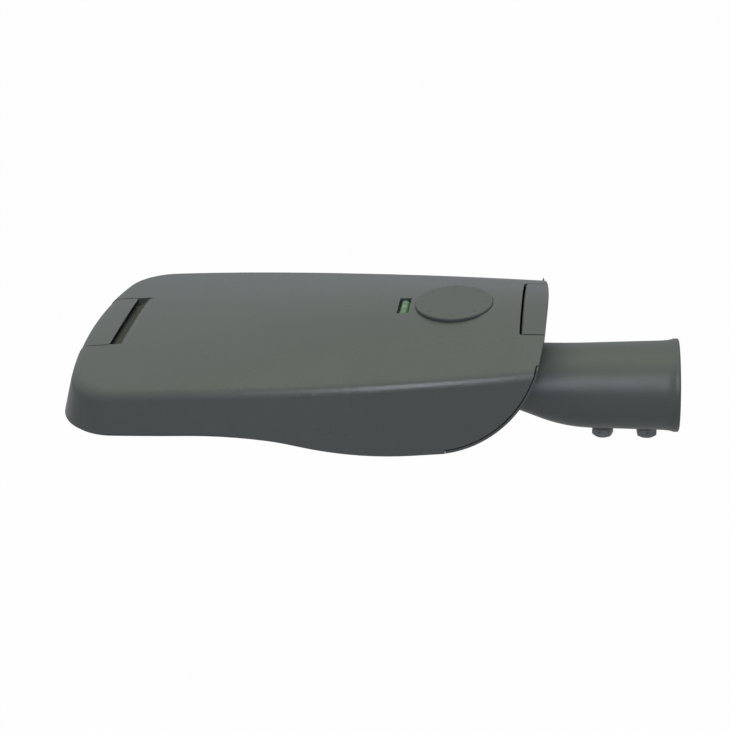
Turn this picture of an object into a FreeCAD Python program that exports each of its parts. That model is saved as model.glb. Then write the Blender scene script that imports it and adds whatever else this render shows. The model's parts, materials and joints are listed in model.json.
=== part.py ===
import FreeCAD, Part
import math
import os
from FreeCAD import Vector as V

# LED street light head for a 60 mm pole spigot, in millimetres.
# Origin: centre of the spigot's mouth. +X points out of the mouth, towards the pole.
# The nose points to -X, +Z is up, and the head is the same on both sides of y = 0.

# Cover: outline seen from above, given at the level of the front rim
RIM_Z = 21.7
SIDE_STATIONS = ((-110.0, 95.0), (-300.0, 119.5), (-490.0, 124.1))
NOSE_TIP_X = -515.6
NOSE_RADIUS = 427.0
CORNER_RADIUS = 54.3
CORNER_SHRINK = 0.415
SIDE_DRAFT_DEG = 12.9
NOSE_DRAFT_DEG = 19.6

# Cover: crowned top, as the height of the centre line and the crown's radius along X
CREST_STATIONS = ((-110.0, 78.5), (-230.0, 75.9), (-370.0, 69.5), (-490.0, 63.3))
CROWN_STATIONS = ((-110.0, 192.0), (-300.0, 396.0), (-490.0, 914.0))
COVER_WALL = 2.8
SHOULDER_RADIUS = 11.0

# Cover: rear edge seen from above, and the edge of the skirt seen from the side
REAR_EDGE_X = -107.2
REAR_EDGE_RADIUS = 840.0
REAR_EDGE_DRAFT_DEG = 6.0
WAVE_FRONT_X = -393.0
WAVE_REAR_X = -213.0
REAR_ARC_X = -192.6
REAR_ARC_Z = 81.7
REAR_ARC_RADIUS = 82.8
SKIRT_LOW_Z = REAR_ARC_Z - REAR_ARC_RADIUS
RIM_STEP = 2.8
RIM_GAP = 1.0
STEP_FRONT_X = -187.0
STEP_TOP_Z = 61.0
RIM_END_GAPS = (0.4, 0.8)
RIM_NOTCH_HALF = 66.0

# Lower housing
HOUSING_WALL = 2.6
FLOOR_THICKNESS = 3.2
HOUSING_FRONT_Z = 18.7
HOUSING_INSET = 3.7
SEAL_INSET = 6.3
SEAL_TOP_Z = 44.0
SEAL_FRONT_X = -449.0
SEAL_REAR_X = -135.8
SHELF_TOP_Z = 39.5
SHELF_THICKNESS = 3.5
NOSE_FRAME_THICKNESS = 3.8
WALL_CORNER = (79.5, 54.0)

# Seal between cover and housing
GASKET_WIDTH = 3.6
GASKET_GAP = 0.25
GROOVE_DEPTH = 3.0
GROOVE_PLAY = 0.2
LEDGE_GAP = 1.2
LEDGE_THICKNESS = 4.3
LEDGE_WIDTH = 7.4
CROSS_WALL = 2.5

# Hinge at the rear of the cover
HINGE_X = -114.5
HINGE_Z = 66.0
HINGE_PIN_RADIUS = 2.25
PIN_PLAY = 0.05
BLOCK_FRONT_X = -127.8
BLOCK_HALF = 48.0
BLOCK_GAP = 1.5
BLOCK_SIDE_GAP = 1.2
BLOCK_BASE_Z = 48.0
BLOCK_EDGE = 2.5
LUG_THICKNESS = 6.0
LUG_RADIUS = 4.8
REAR_SWEEP = 8.8
REAR_LIP_X = -110.6
REAR_LIP_Z = 62.4
PIN_CLIP = 0.6

# Latch at the nose
LATCH_SETBACK = 11.6
LATCH_X = NOSE_TIP_X + LATCH_SETBACK
LATCH_Z = 35.5
LATCH_PIN_RADIUS = 1.75
LATCH_BOSS_RADIUS = 4.2
FLAP_LENGTH = 42.1
FLAP_REAR_X = NOSE_TIP_X + FLAP_LENGTH
FLAP_HALF = 45.4
FLAP_GAP = 1.2
FLAP_INSET = 0.8
FLAP_CORNER = 3.0
FLAP_EDGE = 1.2
FLAP_LOW_Z = 33.0
LIP_TOP_Z = 30.8
HOOK_HALF = 9.0
HOOK_ARM_OFFSET = 3.5
HOOK_ARM_X = LATCH_X + HOOK_ARM_OFFSET
HOOK_ARM_THICKNESS = 3.0
HOOK_LOW_Z = 25.2
HOOK_TIP_Z = 28.0
HOOK_TIP_REACH = 4.0
LATCH_LUG = 4.0
SWEEP_PLAY = 0.35
SPRING_WIRE = 0.45
SPRING_TURNS = 6
SPRING_PITCH = 1.25
SPRING_Y = 11.5
SPRING_PLAY = 0.35
LEAF_SHEET = 0.8
LEAF_FOOT = 12.0
LEAF_HALF = 17.0
LEAF_CLEARANCE = 0.6
LEAF_OVERLAP = 2.6
KEEPER_SCREW_LENGTH = 3.4

# Finger recess behind the flap
DISH_LENGTH = 14.0
DISH_REAR_X = FLAP_REAR_X + DISH_LENGTH
DISH_HALF = 45.5
DISH_RADIUS = 16.5
DISH_BREAK_DEG = 8.0
DISH_SLOPE_DEG = 50.0
DISH_FLOOR_Z = 51.0
DISH_LEDGE_SETBACK = 23.6
DISH_LEDGE_X = NOSE_TIP_X + DISH_LEDGE_SETBACK
DISH_CORNER = 7.0
DISH_WALL = 2.4

# Light compartment, open downwards
BAY_FRONT_X = -485.0
BAY_REAR_X = -348.0
BAY_HALF = 100.0
BAY_CORNER = 12.0
BAY_WALL = 2.5
GLASS_LIP = 4.0
GLASS_THICKNESS = 4.0
GLASS_PLAY = 0.4
GLASS_CORNER = 8.0
GLASS_GASKET = 1.5
FRAME_LIP = 6.5
FRAME_THICKNESS = 1.5
FRAME_Z = 18.9
FRAME_SCREW = 1.5
FRAME_SCREW_LENGTH = 6.5
FRAME_BOSS_RADIUS = 4.0
BOARD_THICKNESS = 1.6
LED_COLUMNS = 4
LED_ROWS = 6
LED_PITCH_X = 31.0
LED_PITCH_Y = 28.0
LED_SIZE = 5.0
LED_HEIGHT = 1.0
LENS_PLATE = 1.8
LENS_GAP = 0.3
LENS_RADIUS = 8.0
LENS_HEIGHT = 4.2

# Spigot for the pole, and its clamp bolts
BORE_RADIUS = 31.0
BORE_DEPTH = 80.0
STOP_THICKNESS = 4.0
STOP_OPENING = 24.0
MOUTH_RADIUS = 38.0
TUBE_TAPER = 0.025
BEAD_RADIUS = 39.3
BEAD_WIDTH = 4.0
BEAD_EDGE = 1.6
BEAD_FLARE = 8.0
BEAD_STEP = 0.15
NECK_WALL = 5.0
NECK_END_X = -195.0
NECK_HALF_WIDTH = 39.6
NECK_SPREAD_X = (-72.0, -155.0)
NECK_BEND_X = -72.2
NECK_BEND_RADIUS = 98.3
NECK_RISE_DEG = 26.0
JOINT_DISTANCE = 88.0
JOINT_GASKET = 1.0
SHADOW_GAP = 2.0
JOINT_LIP = 2.2
JOINT_LIP_PLAY = 0.3
PLATFORM_DISTANCE = 74.5
JOINT_SCREWS = ((31.0, -5.5), (21.5, -19.0))
JOINT_SCREW_RADIUS = 3.0
JOINT_BOSS_RADIUS = 6.2
JOINT_SEAT_RADIUS = 7.0
GLAND_ALONG = -12.0
GLAND_THREAD = 10.0
GLAND_INLET = 5.0
BOLT_STATIONS = (-25.7, -62.7)
BOLT_RADIUS = 5.0
BOLT_FLATS = 16.0
BOLT_HEAD = 5.6
BOLT_TURNS = (35.0, 12.0)
BOLT_BOSS_RADIUS = 11.0
BOLT_BOSS_Z = -39.2
SPRING_WASHER = 2.2
SPRING_WASHER_RADIUS = 8.8

# Blanking cap on the cover, over the opening for a control socket
CAP_X = -185.5
CAP_RADIUS = 32.5
CAP_TOP_Z = 79.3
CAP_THICKNESS = 2.4
CAP_EDGE = 1.6
CAP_GAP = 0.5
CAP_NECK_RADIUS = 20.0
CAP_NECK_LENGTH = 12.0
CAP_DIMPLES = 8
CAP_DIMPLE_CIRCLE = 26.5
CAP_DIMPLE_RADIUS = 1.3
CAP_DIMPLE_BALL = 1.65
CAP_GROOVE = (24.0, 28.0, 1.0)
CAP_GROOVE_PLAY = 0.15
CAP_NUT = (27.0, 4.0)

# Spirit level under its window in the cover
LEVEL_X = -227.5
LEVEL_WINDOW_X = 9.8
LEVEL_WINDOW_Y = 29.0
VIAL_RADIUS = 4.1
VIAL_LENGTH = 27.6
VIAL_DEPTH = 4.9

# Electrical parts on the gear tray
TRAY_Z = 20.0
TRAY_SHEET = 1.5
TRAY_X = (-330.0, -166.0)
TRAY_HALF = 80.0
TRAY_FLANGE = 9.0
DRIVER_X = (-326.0, -176.0)
DRIVER_Y = (-74.0, -8.0)
DRIVER_HEIGHT = 36.0
SURGE_X = (-322.0, -276.0)
SURGE_Y = (16.0, 58.0)
SURGE_HEIGHT = 30.0
TERMINAL_X = (-232.0, -178.0)
TERMINAL_Y = (22.0, 44.0)
TERMINAL_HEIGHT = 22.0
VENT_X = -205.0
VENT_Y = 70.0
VENT_THREAD = 6.0
DRIVER_EAR = 7.0
POST_RADIUS = 4.5
TRAY_SCREW = 2.0
TRAY_SCREW_DEPTH = 4.5

SCREW_PLAY = 0.05
FLAT_HEAD = 1.87
FAR = 150.0
BOTTOM_Z = -60.0
CEILING_Z = 95.0
BACK_X = -60.0
AXIS_X = V(1, 0, 0)
AXIS_Y = V(0, 1, 0)
AXIS_Z = V(0, 0, 1)


# Small shape helpers

def box(x0, x1, y0, y1, z0, z1):
    """A box between two corners."""
    return Part.makeBox(x1 - x0, y1 - y0, z1 - z0, V(x0, y0, z0))


def rod(start, axis, length, radius):
    """A round bar that starts at a point and runs along an axis."""
    return Part.makeCylinder(radius, length, start, axis)


def cross_rod(x, z, half, radius):
    """A round bar across the head, along Y."""
    return rod(V(x, -half, z), AXIS_Y, 2 * half, radius)


def line(p, q):
    return Part.LineSegment(p, q).toShape()


def arc(p, q, r):
    return Part.Arc(p, q, r).toShape()


def side_solid(edges, half=FAR):
    """Closed outline in the plane y = -half, pushed right across the head."""
    wire = Part.Wire(Part.__sortEdges__(edges))
    wire.translate(V(0, -half, 0))
    return Part.Face(wire).extrude(V(0, 2 * half, 0))


def side_polygon(points, half=FAR):
    """The same for an outline with straight sides, points as (x, z)."""
    ring = [V(x, 0, z) for x, z in points]
    ring.append(ring[0])
    wire = Part.makePolygon(ring)
    wire.translate(V(0, -half, 0))
    return Part.Face(wire).extrude(V(0, 2 * half, 0))


def rounded_plate(x0, x1, half, z0, z1, radius):
    """A flat plate with its four corners rounded."""
    plate = box(x0, x1, -half, half, z0, z1)
    uprights = [e for e in plate.Edges if abs(e.tangentAt(e.FirstParameter).z) > 0.9]
    return plate.makeFillet(radius, uprights)


def fuse(shapes):
    """One clean solid out of several that meet."""
    whole = shapes[0].multiFuse(shapes[1:])
    return whole.removeSplitter()


def mirror_y(shape):
    return shape.mirror(V(0, 0, 0), AXIS_Y)


def hexagon(flats, height, start, axis):
    """A hexagon bar with the corners of both ends turned off, as on a bolt head."""
    corner = flats / math.sqrt(3)
    ring = [V(corner * math.cos(k * math.pi / 3), corner * math.sin(k * math.pi / 3), 0) for k in range(7)]
    bar = Part.Face(Part.makePolygon(ring)).extrude(V(0, 0, height))
    bevel = corner - flats / 2
    turned = fuse([
        Part.makeCone(corner - bevel, corner + 0.01, bevel * 0.6),
        Part.makeCylinder(corner + 0.01, height - 1.2 * bevel, V(0, 0, bevel * 0.6)),
        Part.makeCone(corner + 0.01, corner - bevel, bevel * 0.6, V(0, 0, height - bevel * 0.6)),
    ])
    head = bar.common(turned)
    head.Placement = FreeCAD.Placement(start, FreeCAD.Rotation(AXIS_Z, axis))
    return head


def pan_screw(seat, axis, radius, length):
    """A pan head screw: its head stands on the seat and its shank goes down the axis."""
    head_radius = 1.95 * radius
    head_height = 1.25 * radius
    head = Part.makeCylinder(head_radius, head_height)
    top = [e for e in head.Edges if abs(e.BoundBox.ZMin - head_height) < 1e-6 and e.Length > head_radius]
    head = head.makeFillet(0.45 * head_height, top)
    socket = hexagon(1.6 * radius, head_height, V(0, 0, 0.45 * head_height), AXIS_Z)
    shank = Part.makeCylinder(radius, length + 0.5, V(0, 0, -length))
    screw = head.fuse(shank).cut(socket)
    screw.Placement = FreeCAD.Placement(seat, FreeCAD.Rotation(AXIS_Z, axis * -1))
    return screw


def flat_screw(seat, axis, radius, length):
    """A flat head screw: its head is sunk level with the seat and its shank goes down the axis."""
    head_height = FLAT_HEAD * radius - radius
    head = Part.makeCone(radius, FLAT_HEAD * radius, head_height, V(0, 0, -head_height))
    socket = hexagon(1.25 * radius, head_height, V(0, 0, -0.7 * head_height), AXIS_Z)
    shank = Part.makeCylinder(radius, length - head_height + 0.1, V(0, 0, -length))
    screw = head.fuse(shank).cut(socket)
    screw.Placement = FreeCAD.Placement(seat, FreeCAD.Rotation(AXIS_Z, axis * -1))
    return screw


# Form of the cover

def through(stations, x):
    """Smooth curve through the stations, read at x (Lagrange's formula)."""
    total = 0.0
    for i, (xi, value) in enumerate(stations):
        term = value
        for j, (xj, _) in enumerate(stations):
            if j != i:
                term *= (x - xj) / (xi - xj)
        total += term
    return total


def crest_z(x):
    return through(CREST_STATIONS, x)


def crown_radius(x):
    return 1.0 / through([(sx, 1.0 / radius) for sx, radius in CROWN_STATIONS], x)


def circle_through(p, q, r):
    curve = arc(V(p[0], p[1], 0), V(q[0], q[1], 0), V(r[0], r[1], 0)).Curve
    return curve.Center.x, curve.Center.y, curve.Radius


def upper_meeting(c1, r1, c2, r2):
    """The point of larger y where two circles cross."""
    dx = c2[0] - c1[0]
    dy = c2[1] - c1[1]
    gap = math.hypot(dx, dy)
    along = (r1 * r1 - r2 * r2 + gap * gap) / (2 * gap)
    off = math.sqrt(r1 * r1 - along * along)
    foot = (c1[0] + along * dx / gap, c1[1] + along * dy / gap)
    ends = [(foot[0] - s * off * dy / gap, foot[1] + s * off * dx / gap) for s in (1, -1)]
    return max(ends, key=lambda p: p[1])


def on_circle(centre, towards, radius):
    """Where the ray from a centre through a point reaches a radius."""
    dx = towards[0] - centre[0]
    dy = towards[1] - centre[1]
    gap = math.hypot(dx, dy)
    return centre[0] + dx / gap * radius, centre[1] + dy / gap * radius


def plan_outline(z, inset):
    """Outline seen from above: side arcs, corner arcs and nose arc, each tangent to the next.

    It narrows with height by the draft angles, and inset moves it inwards all round.
    """
    rise = z - RIM_Z
    side_x, side_y, side_r = circle_through(*SIDE_STATIONS)
    side = (side_x, side_y - math.tan(math.radians(SIDE_DRAFT_DEG)) * rise)
    side_r -= inset
    nose = (NOSE_TIP_X + NOSE_RADIUS + math.tan(math.radians(NOSE_DRAFT_DEG)) * rise, 0.0)
    nose_r = NOSE_RADIUS - inset
    corner_r = CORNER_RADIUS - CORNER_SHRINK * rise - inset
    corner = upper_meeting(side, side_r - corner_r, nose, nose_r - corner_r)
    side_end = on_circle(side, corner, side_r)
    nose_end = on_circle(nose, corner, nose_r)
    half_way = (math.atan2(side_end[1] - corner[1], side_end[0] - corner[0])
                + math.atan2(nose_end[1] - corner[1], nose_end[0] - corner[0])) / 2
    corner_mid = (corner[0] + corner_r * math.cos(half_way), corner[1] + corner_r * math.sin(half_way))

    def side_point(x):
        return x, side[1] + math.sqrt(side_r ** 2 - (x - side[0]) ** 2)

    back = side_point(BACK_X)
    side_mid = side_point((BACK_X + side_end[0]) / 2)

    def at(p, s=1):
        return V(p[0], s * p[1], z)

    return Part.Wire([
        arc(at(back), at(side_mid), at(side_end)),
        arc(at(side_end), at(corner_mid), at(nose_end)),
        arc(at(nose_end), V(nose[0] - nose_r, 0, z), at(nose_end, -1)),
        arc(at(nose_end, -1), at(corner_mid, -1), at(side_end, -1)),
        arc(at(side_end, -1), at(side_mid, -1), at(back, -1)),
        line(at(back, -1), at(back)),
    ])


def drafted(inset, z0=BOTTOM_Z, z1=CEILING_Z):
    """The drafted sides of the cover as a block, moved inwards by inset."""
    return Part.makeLoft([plan_outline(z0, inset), plan_outline(z1, inset)], True, True)


def crown_section(x, drop):
    """Cross-section under the crowned top at one station."""
    top = crest_z(x) - drop
    radius = crown_radius(x) - drop
    sag = radius - math.sqrt(radius ** 2 - FAR ** 2)
    left = V(x, FAR, top - sag)
    right = V(x, -FAR, top - sag)
    low_left = V(x, FAR, 2 * BOTTOM_Z)
    low_right = V(x, -FAR, 2 * BOTTOM_Z)
    return Part.Wire([
        arc(left, V(x, 0, top), right),
        line(right, low_right),
        line(low_right, low_left),
        line(low_left, left),
    ])


def cover_form(inset):
    """Drafted sides under the crowned top, with the shoulder rounded between them."""
    span = BACK_X - NOSE_TIP_X
    stations = [BACK_X + 20.0 - k * (span + 95.0) / 5 for k in range(6)]
    lid = Part.makeLoft([crown_section(x, inset) for x in stations], True, False)
    body = drafted(inset).common(lid).Solids[0]
    shoulder = []
    for edge in body.Edges:
        middle = edge.valueAt((edge.FirstParameter + edge.LastParameter) / 2)
        flat = edge.BoundBox.ZLength < 0.5 * max(edge.BoundBox.XLength, edge.BoundBox.YLength)
        if flat and middle.z > RIM_Z and middle.x < BACK_X - 1:
            shoulder.append(edge)
    return body.makeFillet(SHOULDER_RADIUS - inset, shoulder)


def wave(front_z, low_z):
    """Side view of the lower edge between nose and rear: two equal arcs that meet in an S."""
    fall = front_z - low_z
    run = WAVE_REAR_X - WAVE_FRONT_X
    turn = 2 * math.atan(fall / run)
    radius = run / (2 * math.sin(turn))

    def point(x, z, angle, s):
        return V(x + s * radius * math.sin(angle), 0, z - s * radius * (1 - math.cos(angle)))

    middle = V((WAVE_FRONT_X + WAVE_REAR_X) / 2, 0, (front_z + low_z) / 2)
    return [
        arc(V(WAVE_FRONT_X, 0, front_z), point(WAVE_FRONT_X, front_z, turn / 2, 1), middle),
        arc(middle, point(WAVE_REAR_X, low_z, turn / 2, -1), V(WAVE_REAR_X, 0, low_z)),
    ]


def rear_arc_point(radius, z=None, x=None):
    """A point of an arc about the centre of the rear arc, at a height or a length."""
    if z is None:
        return V(x, 0, REAR_ARC_Z - math.sqrt(radius ** 2 - (x - REAR_ARC_X) ** 2))
    return V(REAR_ARC_X + math.sqrt(radius ** 2 - (z - REAR_ARC_Z) ** 2), 0, z)


def rear_arc_at(radius, degrees):
    """The same by angle: 0 points to the rear, 90 straight down."""
    a = math.radians(degrees)
    return V(REAR_ARC_X + radius * math.cos(a), 0, REAR_ARC_Z - radius * math.sin(a))


def rear_plan_limit():
    """Everything in front of the gently curved rear edge, which leans in a little going down."""
    slope = math.tan(math.radians(REAR_EDGE_DRAFT_DEG))
    crest = crest_z(REAR_EDGE_X)
    low = REAR_EDGE_RADIUS - slope * (crest + FAR)
    high = REAR_EDGE_RADIUS + slope * (2 * FAR - crest)
    return Part.makeCone(low, high, 3 * FAR, V(REAR_EDGE_X - REAR_EDGE_RADIUS, 0, -FAR))


def cover_side_limit():
    """Side view of the cover: wavy skirt, step over the rim, arc up to the rear edge."""
    edge_radius = REAR_ARC_RADIUS - RIM_STEP
    nose_x = NOSE_TIP_X - 30
    step_low = V(STEP_FRONT_X, 0, SKIRT_LOW_Z)
    step_high = rear_arc_point(edge_radius, x=STEP_FRONT_X)
    arc_end = rear_arc_point(edge_radius, z=STEP_TOP_Z)
    corner = rear_arc_point(REAR_ARC_RADIUS, z=STEP_TOP_Z)
    behind = V(corner.x + 8, 0, corner.z + 10)
    edges = wave(RIM_Z, SKIRT_LOW_Z) + [
        line(V(WAVE_REAR_X, 0, SKIRT_LOW_Z), step_low),
        line(step_low, step_high),
        arc(step_high, rear_arc_at(edge_radius, 50), arc_end),
        line(arc_end, corner),
        line(corner, behind),
        line(behind, V(behind.x, 0, CEILING_Z + 20)),
        line(V(behind.x, 0, CEILING_Z + 20), V(nose_x, 0, CEILING_Z + 20)),
        line(V(nose_x, 0, CEILING_Z + 20), V(nose_x, 0, RIM_Z)),
        line(V(nose_x, 0, RIM_Z), V(WAVE_FRONT_X, 0, RIM_Z)),
    ]
    return side_solid(edges)


OUTER_FORM = cover_form(0.0)
INNER_FORM = cover_form(COVER_WALL)


# Joint plane of the spigot: it leans at 45 degrees, square to the rear arc's middle

LEAN = math.sqrt(0.5)


def joint_point(distance, along, y):
    """A point at a distance from the rear arc's centre, and so far up along the joint."""
    return V(REAR_ARC_X + LEAN * (distance + along), y, REAR_ARC_Z - LEAN * (distance - along))


JOINT_AXIS = V(LEAN, 0, -LEAN)


def beyond_joint(distance):
    """The half of space on the pole's side of a plane parallel to the joint."""
    size = 4 * FAR
    slab = Part.makeBox(size, size, size, V(-size / 2, -size / 2, 0))
    slab.Placement = FreeCAD.Placement(joint_point(distance, 0, 0), FreeCAD.Rotation(AXIS_Z, JOINT_AXIS))
    return slab


def oval_ring(x, half_width, half_height, centre_z):
    """An upright oval across the head, as one closed curve that starts at its top."""
    steps = 24
    points = []
    for k in range(steps):
        turn = 2 * math.pi * k / steps
        points.append(V(x, half_width * math.sin(turn), centre_z + half_height * math.cos(turn)))
    curve = Part.BSplineCurve()
    curve.interpolate(points, PeriodicFlag=True)
    return Part.Wire([curve.toShape()])


def tube_radius(x):
    return MOUTH_RADIUS + TUBE_TAPER * x


def neck_lift(x):
    """How far the neck's underside has risen at x: level, then a bend, then a straight slope."""
    slope = math.radians(NECK_RISE_DEG)
    run = max(NECK_BEND_X - x, 0.0)
    bend = NECK_BEND_RADIUS * math.sin(slope)
    if run < bend:
        return NECK_BEND_RADIUS - math.sqrt(NECK_BEND_RADIUS ** 2 - run ** 2)
    return NECK_BEND_RADIUS * (1 - math.cos(slope)) + (run - bend) * math.tan(slope)


def neck_half_width(x):
    """Half width of the neck: the tube's radius, easing out to the full width at the housing."""
    start, end = NECK_SPREAD_X
    t = min(max((start - x) / (start - end), 0.0), 1.0)
    ease = t * t * (3 - 2 * t)
    return tube_radius(x) + (NECK_HALF_WIDTH - tube_radius(x)) * ease


def neck_form(wall):
    """Round tube that flattens and widens towards the housing, thinner by wall."""
    count = 16
    rings = []
    for k in range(count + 1):
        x = NECK_END_X * k / count
        half_height = tube_radius(x) - neck_lift(x) / 2
        rings.append(oval_ring(x, neck_half_width(x) - wall, half_height - wall, neck_lift(x) / 2))
    return Part.makeLoft(rings, True, False)


NECK_FORM = neck_form(0.0)
SOCKET_FORM = neck_form(JOINT_LIP + JOINT_LIP_PLAY)


# Outer casting of the cover

def plate_ring(outer_inset, inner_inset, z0, z1, front_x, rear_x, wall):
    """A closed band inside the skirt, with straight cross pieces at the front and the rear."""
    outer = drafted(outer_inset).common(box(front_x, rear_x, -FAR, FAR, z0, z1))
    inner = drafted(inner_inset).common(box(front_x + wall, rear_x - wall, -FAR, FAR, z0 - 1, z1 + 1))
    return outer.cut(inner)


SEAL_MIDDLE = SEAL_INSET + HOUSING_WALL / 2
SEAL_FRONT_MIDDLE = SEAL_FRONT_X + HOUSING_WALL / 2
SEAL_REAR_MIDDLE = SEAL_REAR_X - HOUSING_WALL / 2
LEDGE_Z = SEAL_TOP_Z + LEDGE_GAP


def seal_band(width, z0, z1):
    """A band of a given width, centred over the top of the housing's wall."""
    return plate_ring(SEAL_MIDDLE - width / 2, SEAL_MIDDLE + width / 2, z0, z1,
                      SEAL_FRONT_MIDDLE - width / 2, SEAL_REAR_MIDDLE + width / 2, width)


def cover_seal_ledge():
    """Ledge round the inside of the cover that holds the gasket, with cross walls above it."""
    front_x = SEAL_FRONT_MIDDLE - LEDGE_WIDTH / 2
    rear_x = SEAL_REAR_MIDDLE + LEDGE_WIDTH / 2
    ledge = plate_ring(COVER_WALL - 0.5, SEAL_MIDDLE + LEDGE_WIDTH / 2, LEDGE_Z, LEDGE_Z + LEDGE_THICKNESS,
                       front_x, rear_x, LEDGE_WIDTH)
    walls = [box(x, x + CROSS_WALL, -FAR, FAR, LEDGE_Z, CEILING_Z) for x in (front_x, rear_x - CROSS_WALL)]
    return [ledge] + walls


def cover_shell():
    """Skin of the cover with all that stands on its inside, cut to the cover's side view."""
    standing = cover_seal_ledge() + hinge_lugs() + latch_lugs() + [dish(DISH_WALL)]
    hollow = INNER_FORM.cut(standing)
    return OUTER_FORM.cut(hollow).common(cover_side_limit())


def hinge_notch():
    """Opening at the rear edge round the hinge block, with rounded inner corners."""
    half = BLOCK_HALF + BLOCK_SIDE_GAP
    notch = box(BLOCK_FRONT_X - BLOCK_GAP, BACK_X, -half, half, BLOCK_BASE_Z - 10, CEILING_Z)
    inner = [e for e in notch.Edges if e.BoundBox.XMax < BLOCK_FRONT_X and e.BoundBox.ZLength > 1]
    return notch.makeFillet(BLOCK_EDGE, inner)


LUG_END = BLOCK_HALF + BLOCK_SIDE_GAP + LUG_THICKNESS


def rear_lips():
    """Rear edge of the cover turned down on both sides of the hinge block."""
    lip = box(REAR_LIP_X, BACK_X, BLOCK_HALF + BLOCK_SIDE_GAP, FAR, REAR_LIP_Z, CEILING_Z)
    lip = lip.common(OUTER_FORM)
    return [lip, mirror_y(lip)]


def hinge_lugs():
    """Two ears under the skin, beside the hinge block, that turn on the pin."""
    y = BLOCK_HALF + BLOCK_SIDE_GAP
    eye = rod(V(HINGE_X, y, HINGE_Z), AXIS_Y, LUG_THICKNESS, LUG_RADIUS)
    web = box(HINGE_X - 2 * LUG_RADIUS, HINGE_X + LUG_RADIUS, y, y + LUG_THICKNESS, HINGE_Z, CEILING_Z)
    lug = eye.fuse(web)
    return [lug, mirror_y(lug)]


def dish_profile(grow):
    """Side view of the finger recess: it rolls over from the skin, runs down and ends on a ledge.

    The roll starts nearly in line with the skin. Grow moves the outline into the wall below it.
    """
    start = math.atan(crest_z(DISH_REAR_X) - crest_z(DISH_REAR_X - 1)) + math.radians(DISH_BREAK_DEG)
    end = math.radians(DISH_SLOPE_DEG)
    roll = DISH_RADIUS - grow
    centre_x = DISH_REAR_X + DISH_RADIUS * math.sin(start)
    centre_z = crest_z(DISH_REAR_X) - DISH_RADIUS * math.cos(start)

    def rolled(angle):
        return V(centre_x - roll * math.sin(angle), 0, centre_z + roll * math.cos(angle))

    first = rolled(start)
    last = rolled(end)
    floor_z = DISH_FLOOR_Z - grow
    foot = V(last.x - (last.z - floor_z) / math.tan(end), 0, floor_z)
    ledge = V(DISH_LEDGE_X, 0, floor_z)
    lead = first + V(math.cos(start), 0, math.sin(start)) * 3
    return [
        line(lead, first),
        arc(first, rolled((start + end) / 2), last),
        line(last, foot),
        line(foot, ledge),
        line(ledge, V(DISH_LEDGE_X, 0, CEILING_Z)),
        line(V(DISH_LEDGE_X, 0, CEILING_Z), V(lead.x, 0, CEILING_Z)),
        line(V(lead.x, 0, CEILING_Z), lead),
    ]


def dish(grow):
    """The finger recess as a solid that follows the crown across the head, grown by a wall outside."""
    radius = crown_radius(DISH_REAR_X)
    axis = V(0, 0, crest_z(DISH_REAR_X) - radius)
    half_turn = math.degrees((DISH_HALF + grow) / radius)
    face = Part.Face(Part.Wire(Part.__sortEdges__(dish_profile(grow))))
    face.rotate(axis, AXIS_X, -half_turn)
    block = face.revolve(axis, AXIS_X, 2 * half_turn)
    rear_x = max(v.X for v in block.Vertexes)
    rear = [e for e in block.Edges
            if e.BoundBox.ZLength > 5 and e.BoundBox.XLength < 0.01 and e.BoundBox.XMin > rear_x - 0.01
            and e.BoundBox.YLength < e.BoundBox.ZLength]
    return block.makeFillet(DISH_CORNER + grow, rear)


def flap_region(half, low_z):
    """The part of the cover's skin that the latch takes over, or the opening for it."""
    region = box(NOSE_TIP_X - 20, FLAP_REAR_X, -half, half, low_z, CEILING_Z)
    rear = [e for e in region.Edges if e.BoundBox.XMin > FLAP_REAR_X - 0.01 and e.BoundBox.ZLength > 1]
    return region.makeFillet(FLAP_CORNER, rear)


def nose_x(z):
    """Front of the cover's nose at y = 0."""
    return NOSE_TIP_X + math.tan(math.radians(NOSE_DRAFT_DEG)) * (z - RIM_Z)


def flap_edge_sweep():
    """Barrel round the latch pin that the curved lower edge of the flap turns in."""
    half = FLAP_HALF + FLAP_GAP
    reach = math.hypot(LATCH_X - nose_x(FLAP_LOW_Z) - FLAP_INSET, LATCH_Z - FLAP_LOW_Z) + SWEEP_PLAY
    fall = NOSE_RADIUS - math.sqrt(NOSE_RADIUS ** 2 - half ** 2)
    left = V(LATCH_X - reach + fall, -half, LATCH_Z)
    right = V(LATCH_X - reach + fall, half, LATCH_Z)
    profile = Part.Face(Part.Wire([
        arc(left, V(LATCH_X - reach, 0, LATCH_Z), right),
        line(right, V(LATCH_X, half, LATCH_Z)),
        line(V(LATCH_X, half, LATCH_Z), V(LATCH_X, -half, LATCH_Z)),
        line(V(LATCH_X, -half, LATCH_Z), left),
    ]))
    return profile.revolve(V(LATCH_X, 0, LATCH_Z), AXIS_Y, 360)


LATCH_PIN_HALF = FLAP_HALF + FLAP_GAP + LATCH_LUG


def latch_lugs():
    """Two ears inside the cover, beside the flap, that carry the latch pin."""
    y = FLAP_HALF + FLAP_GAP
    eye = rod(V(LATCH_X, y, LATCH_Z), AXIS_Y, LATCH_LUG, LATCH_BOSS_RADIUS)
    web = side_polygon([
        (NOSE_TIP_X, LATCH_Z),
        (LATCH_X + LATCH_BOSS_RADIUS, LATCH_Z),
        (LATCH_X + 4 * LATCH_BOSS_RADIUS, CEILING_Z),
        (NOSE_TIP_X, CEILING_Z),
    ]).common(box(NOSE_TIP_X - 1, FLAP_REAR_X, y, y + LATCH_LUG, RIM_Z, CEILING_Z))
    lug = eye.fuse(web)
    return [lug, mirror_y(lug)]


def cap_pad():
    """Flat round pad on the crowned top that the blanking cap sits on."""
    pad = rod(V(CAP_X, 0, CAP_TOP_Z - CAP_THICKNESS - 8), AXIS_Z, 8, CAP_RADIUS - 0.6)
    return pad.cut(INNER_FORM)


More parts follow.
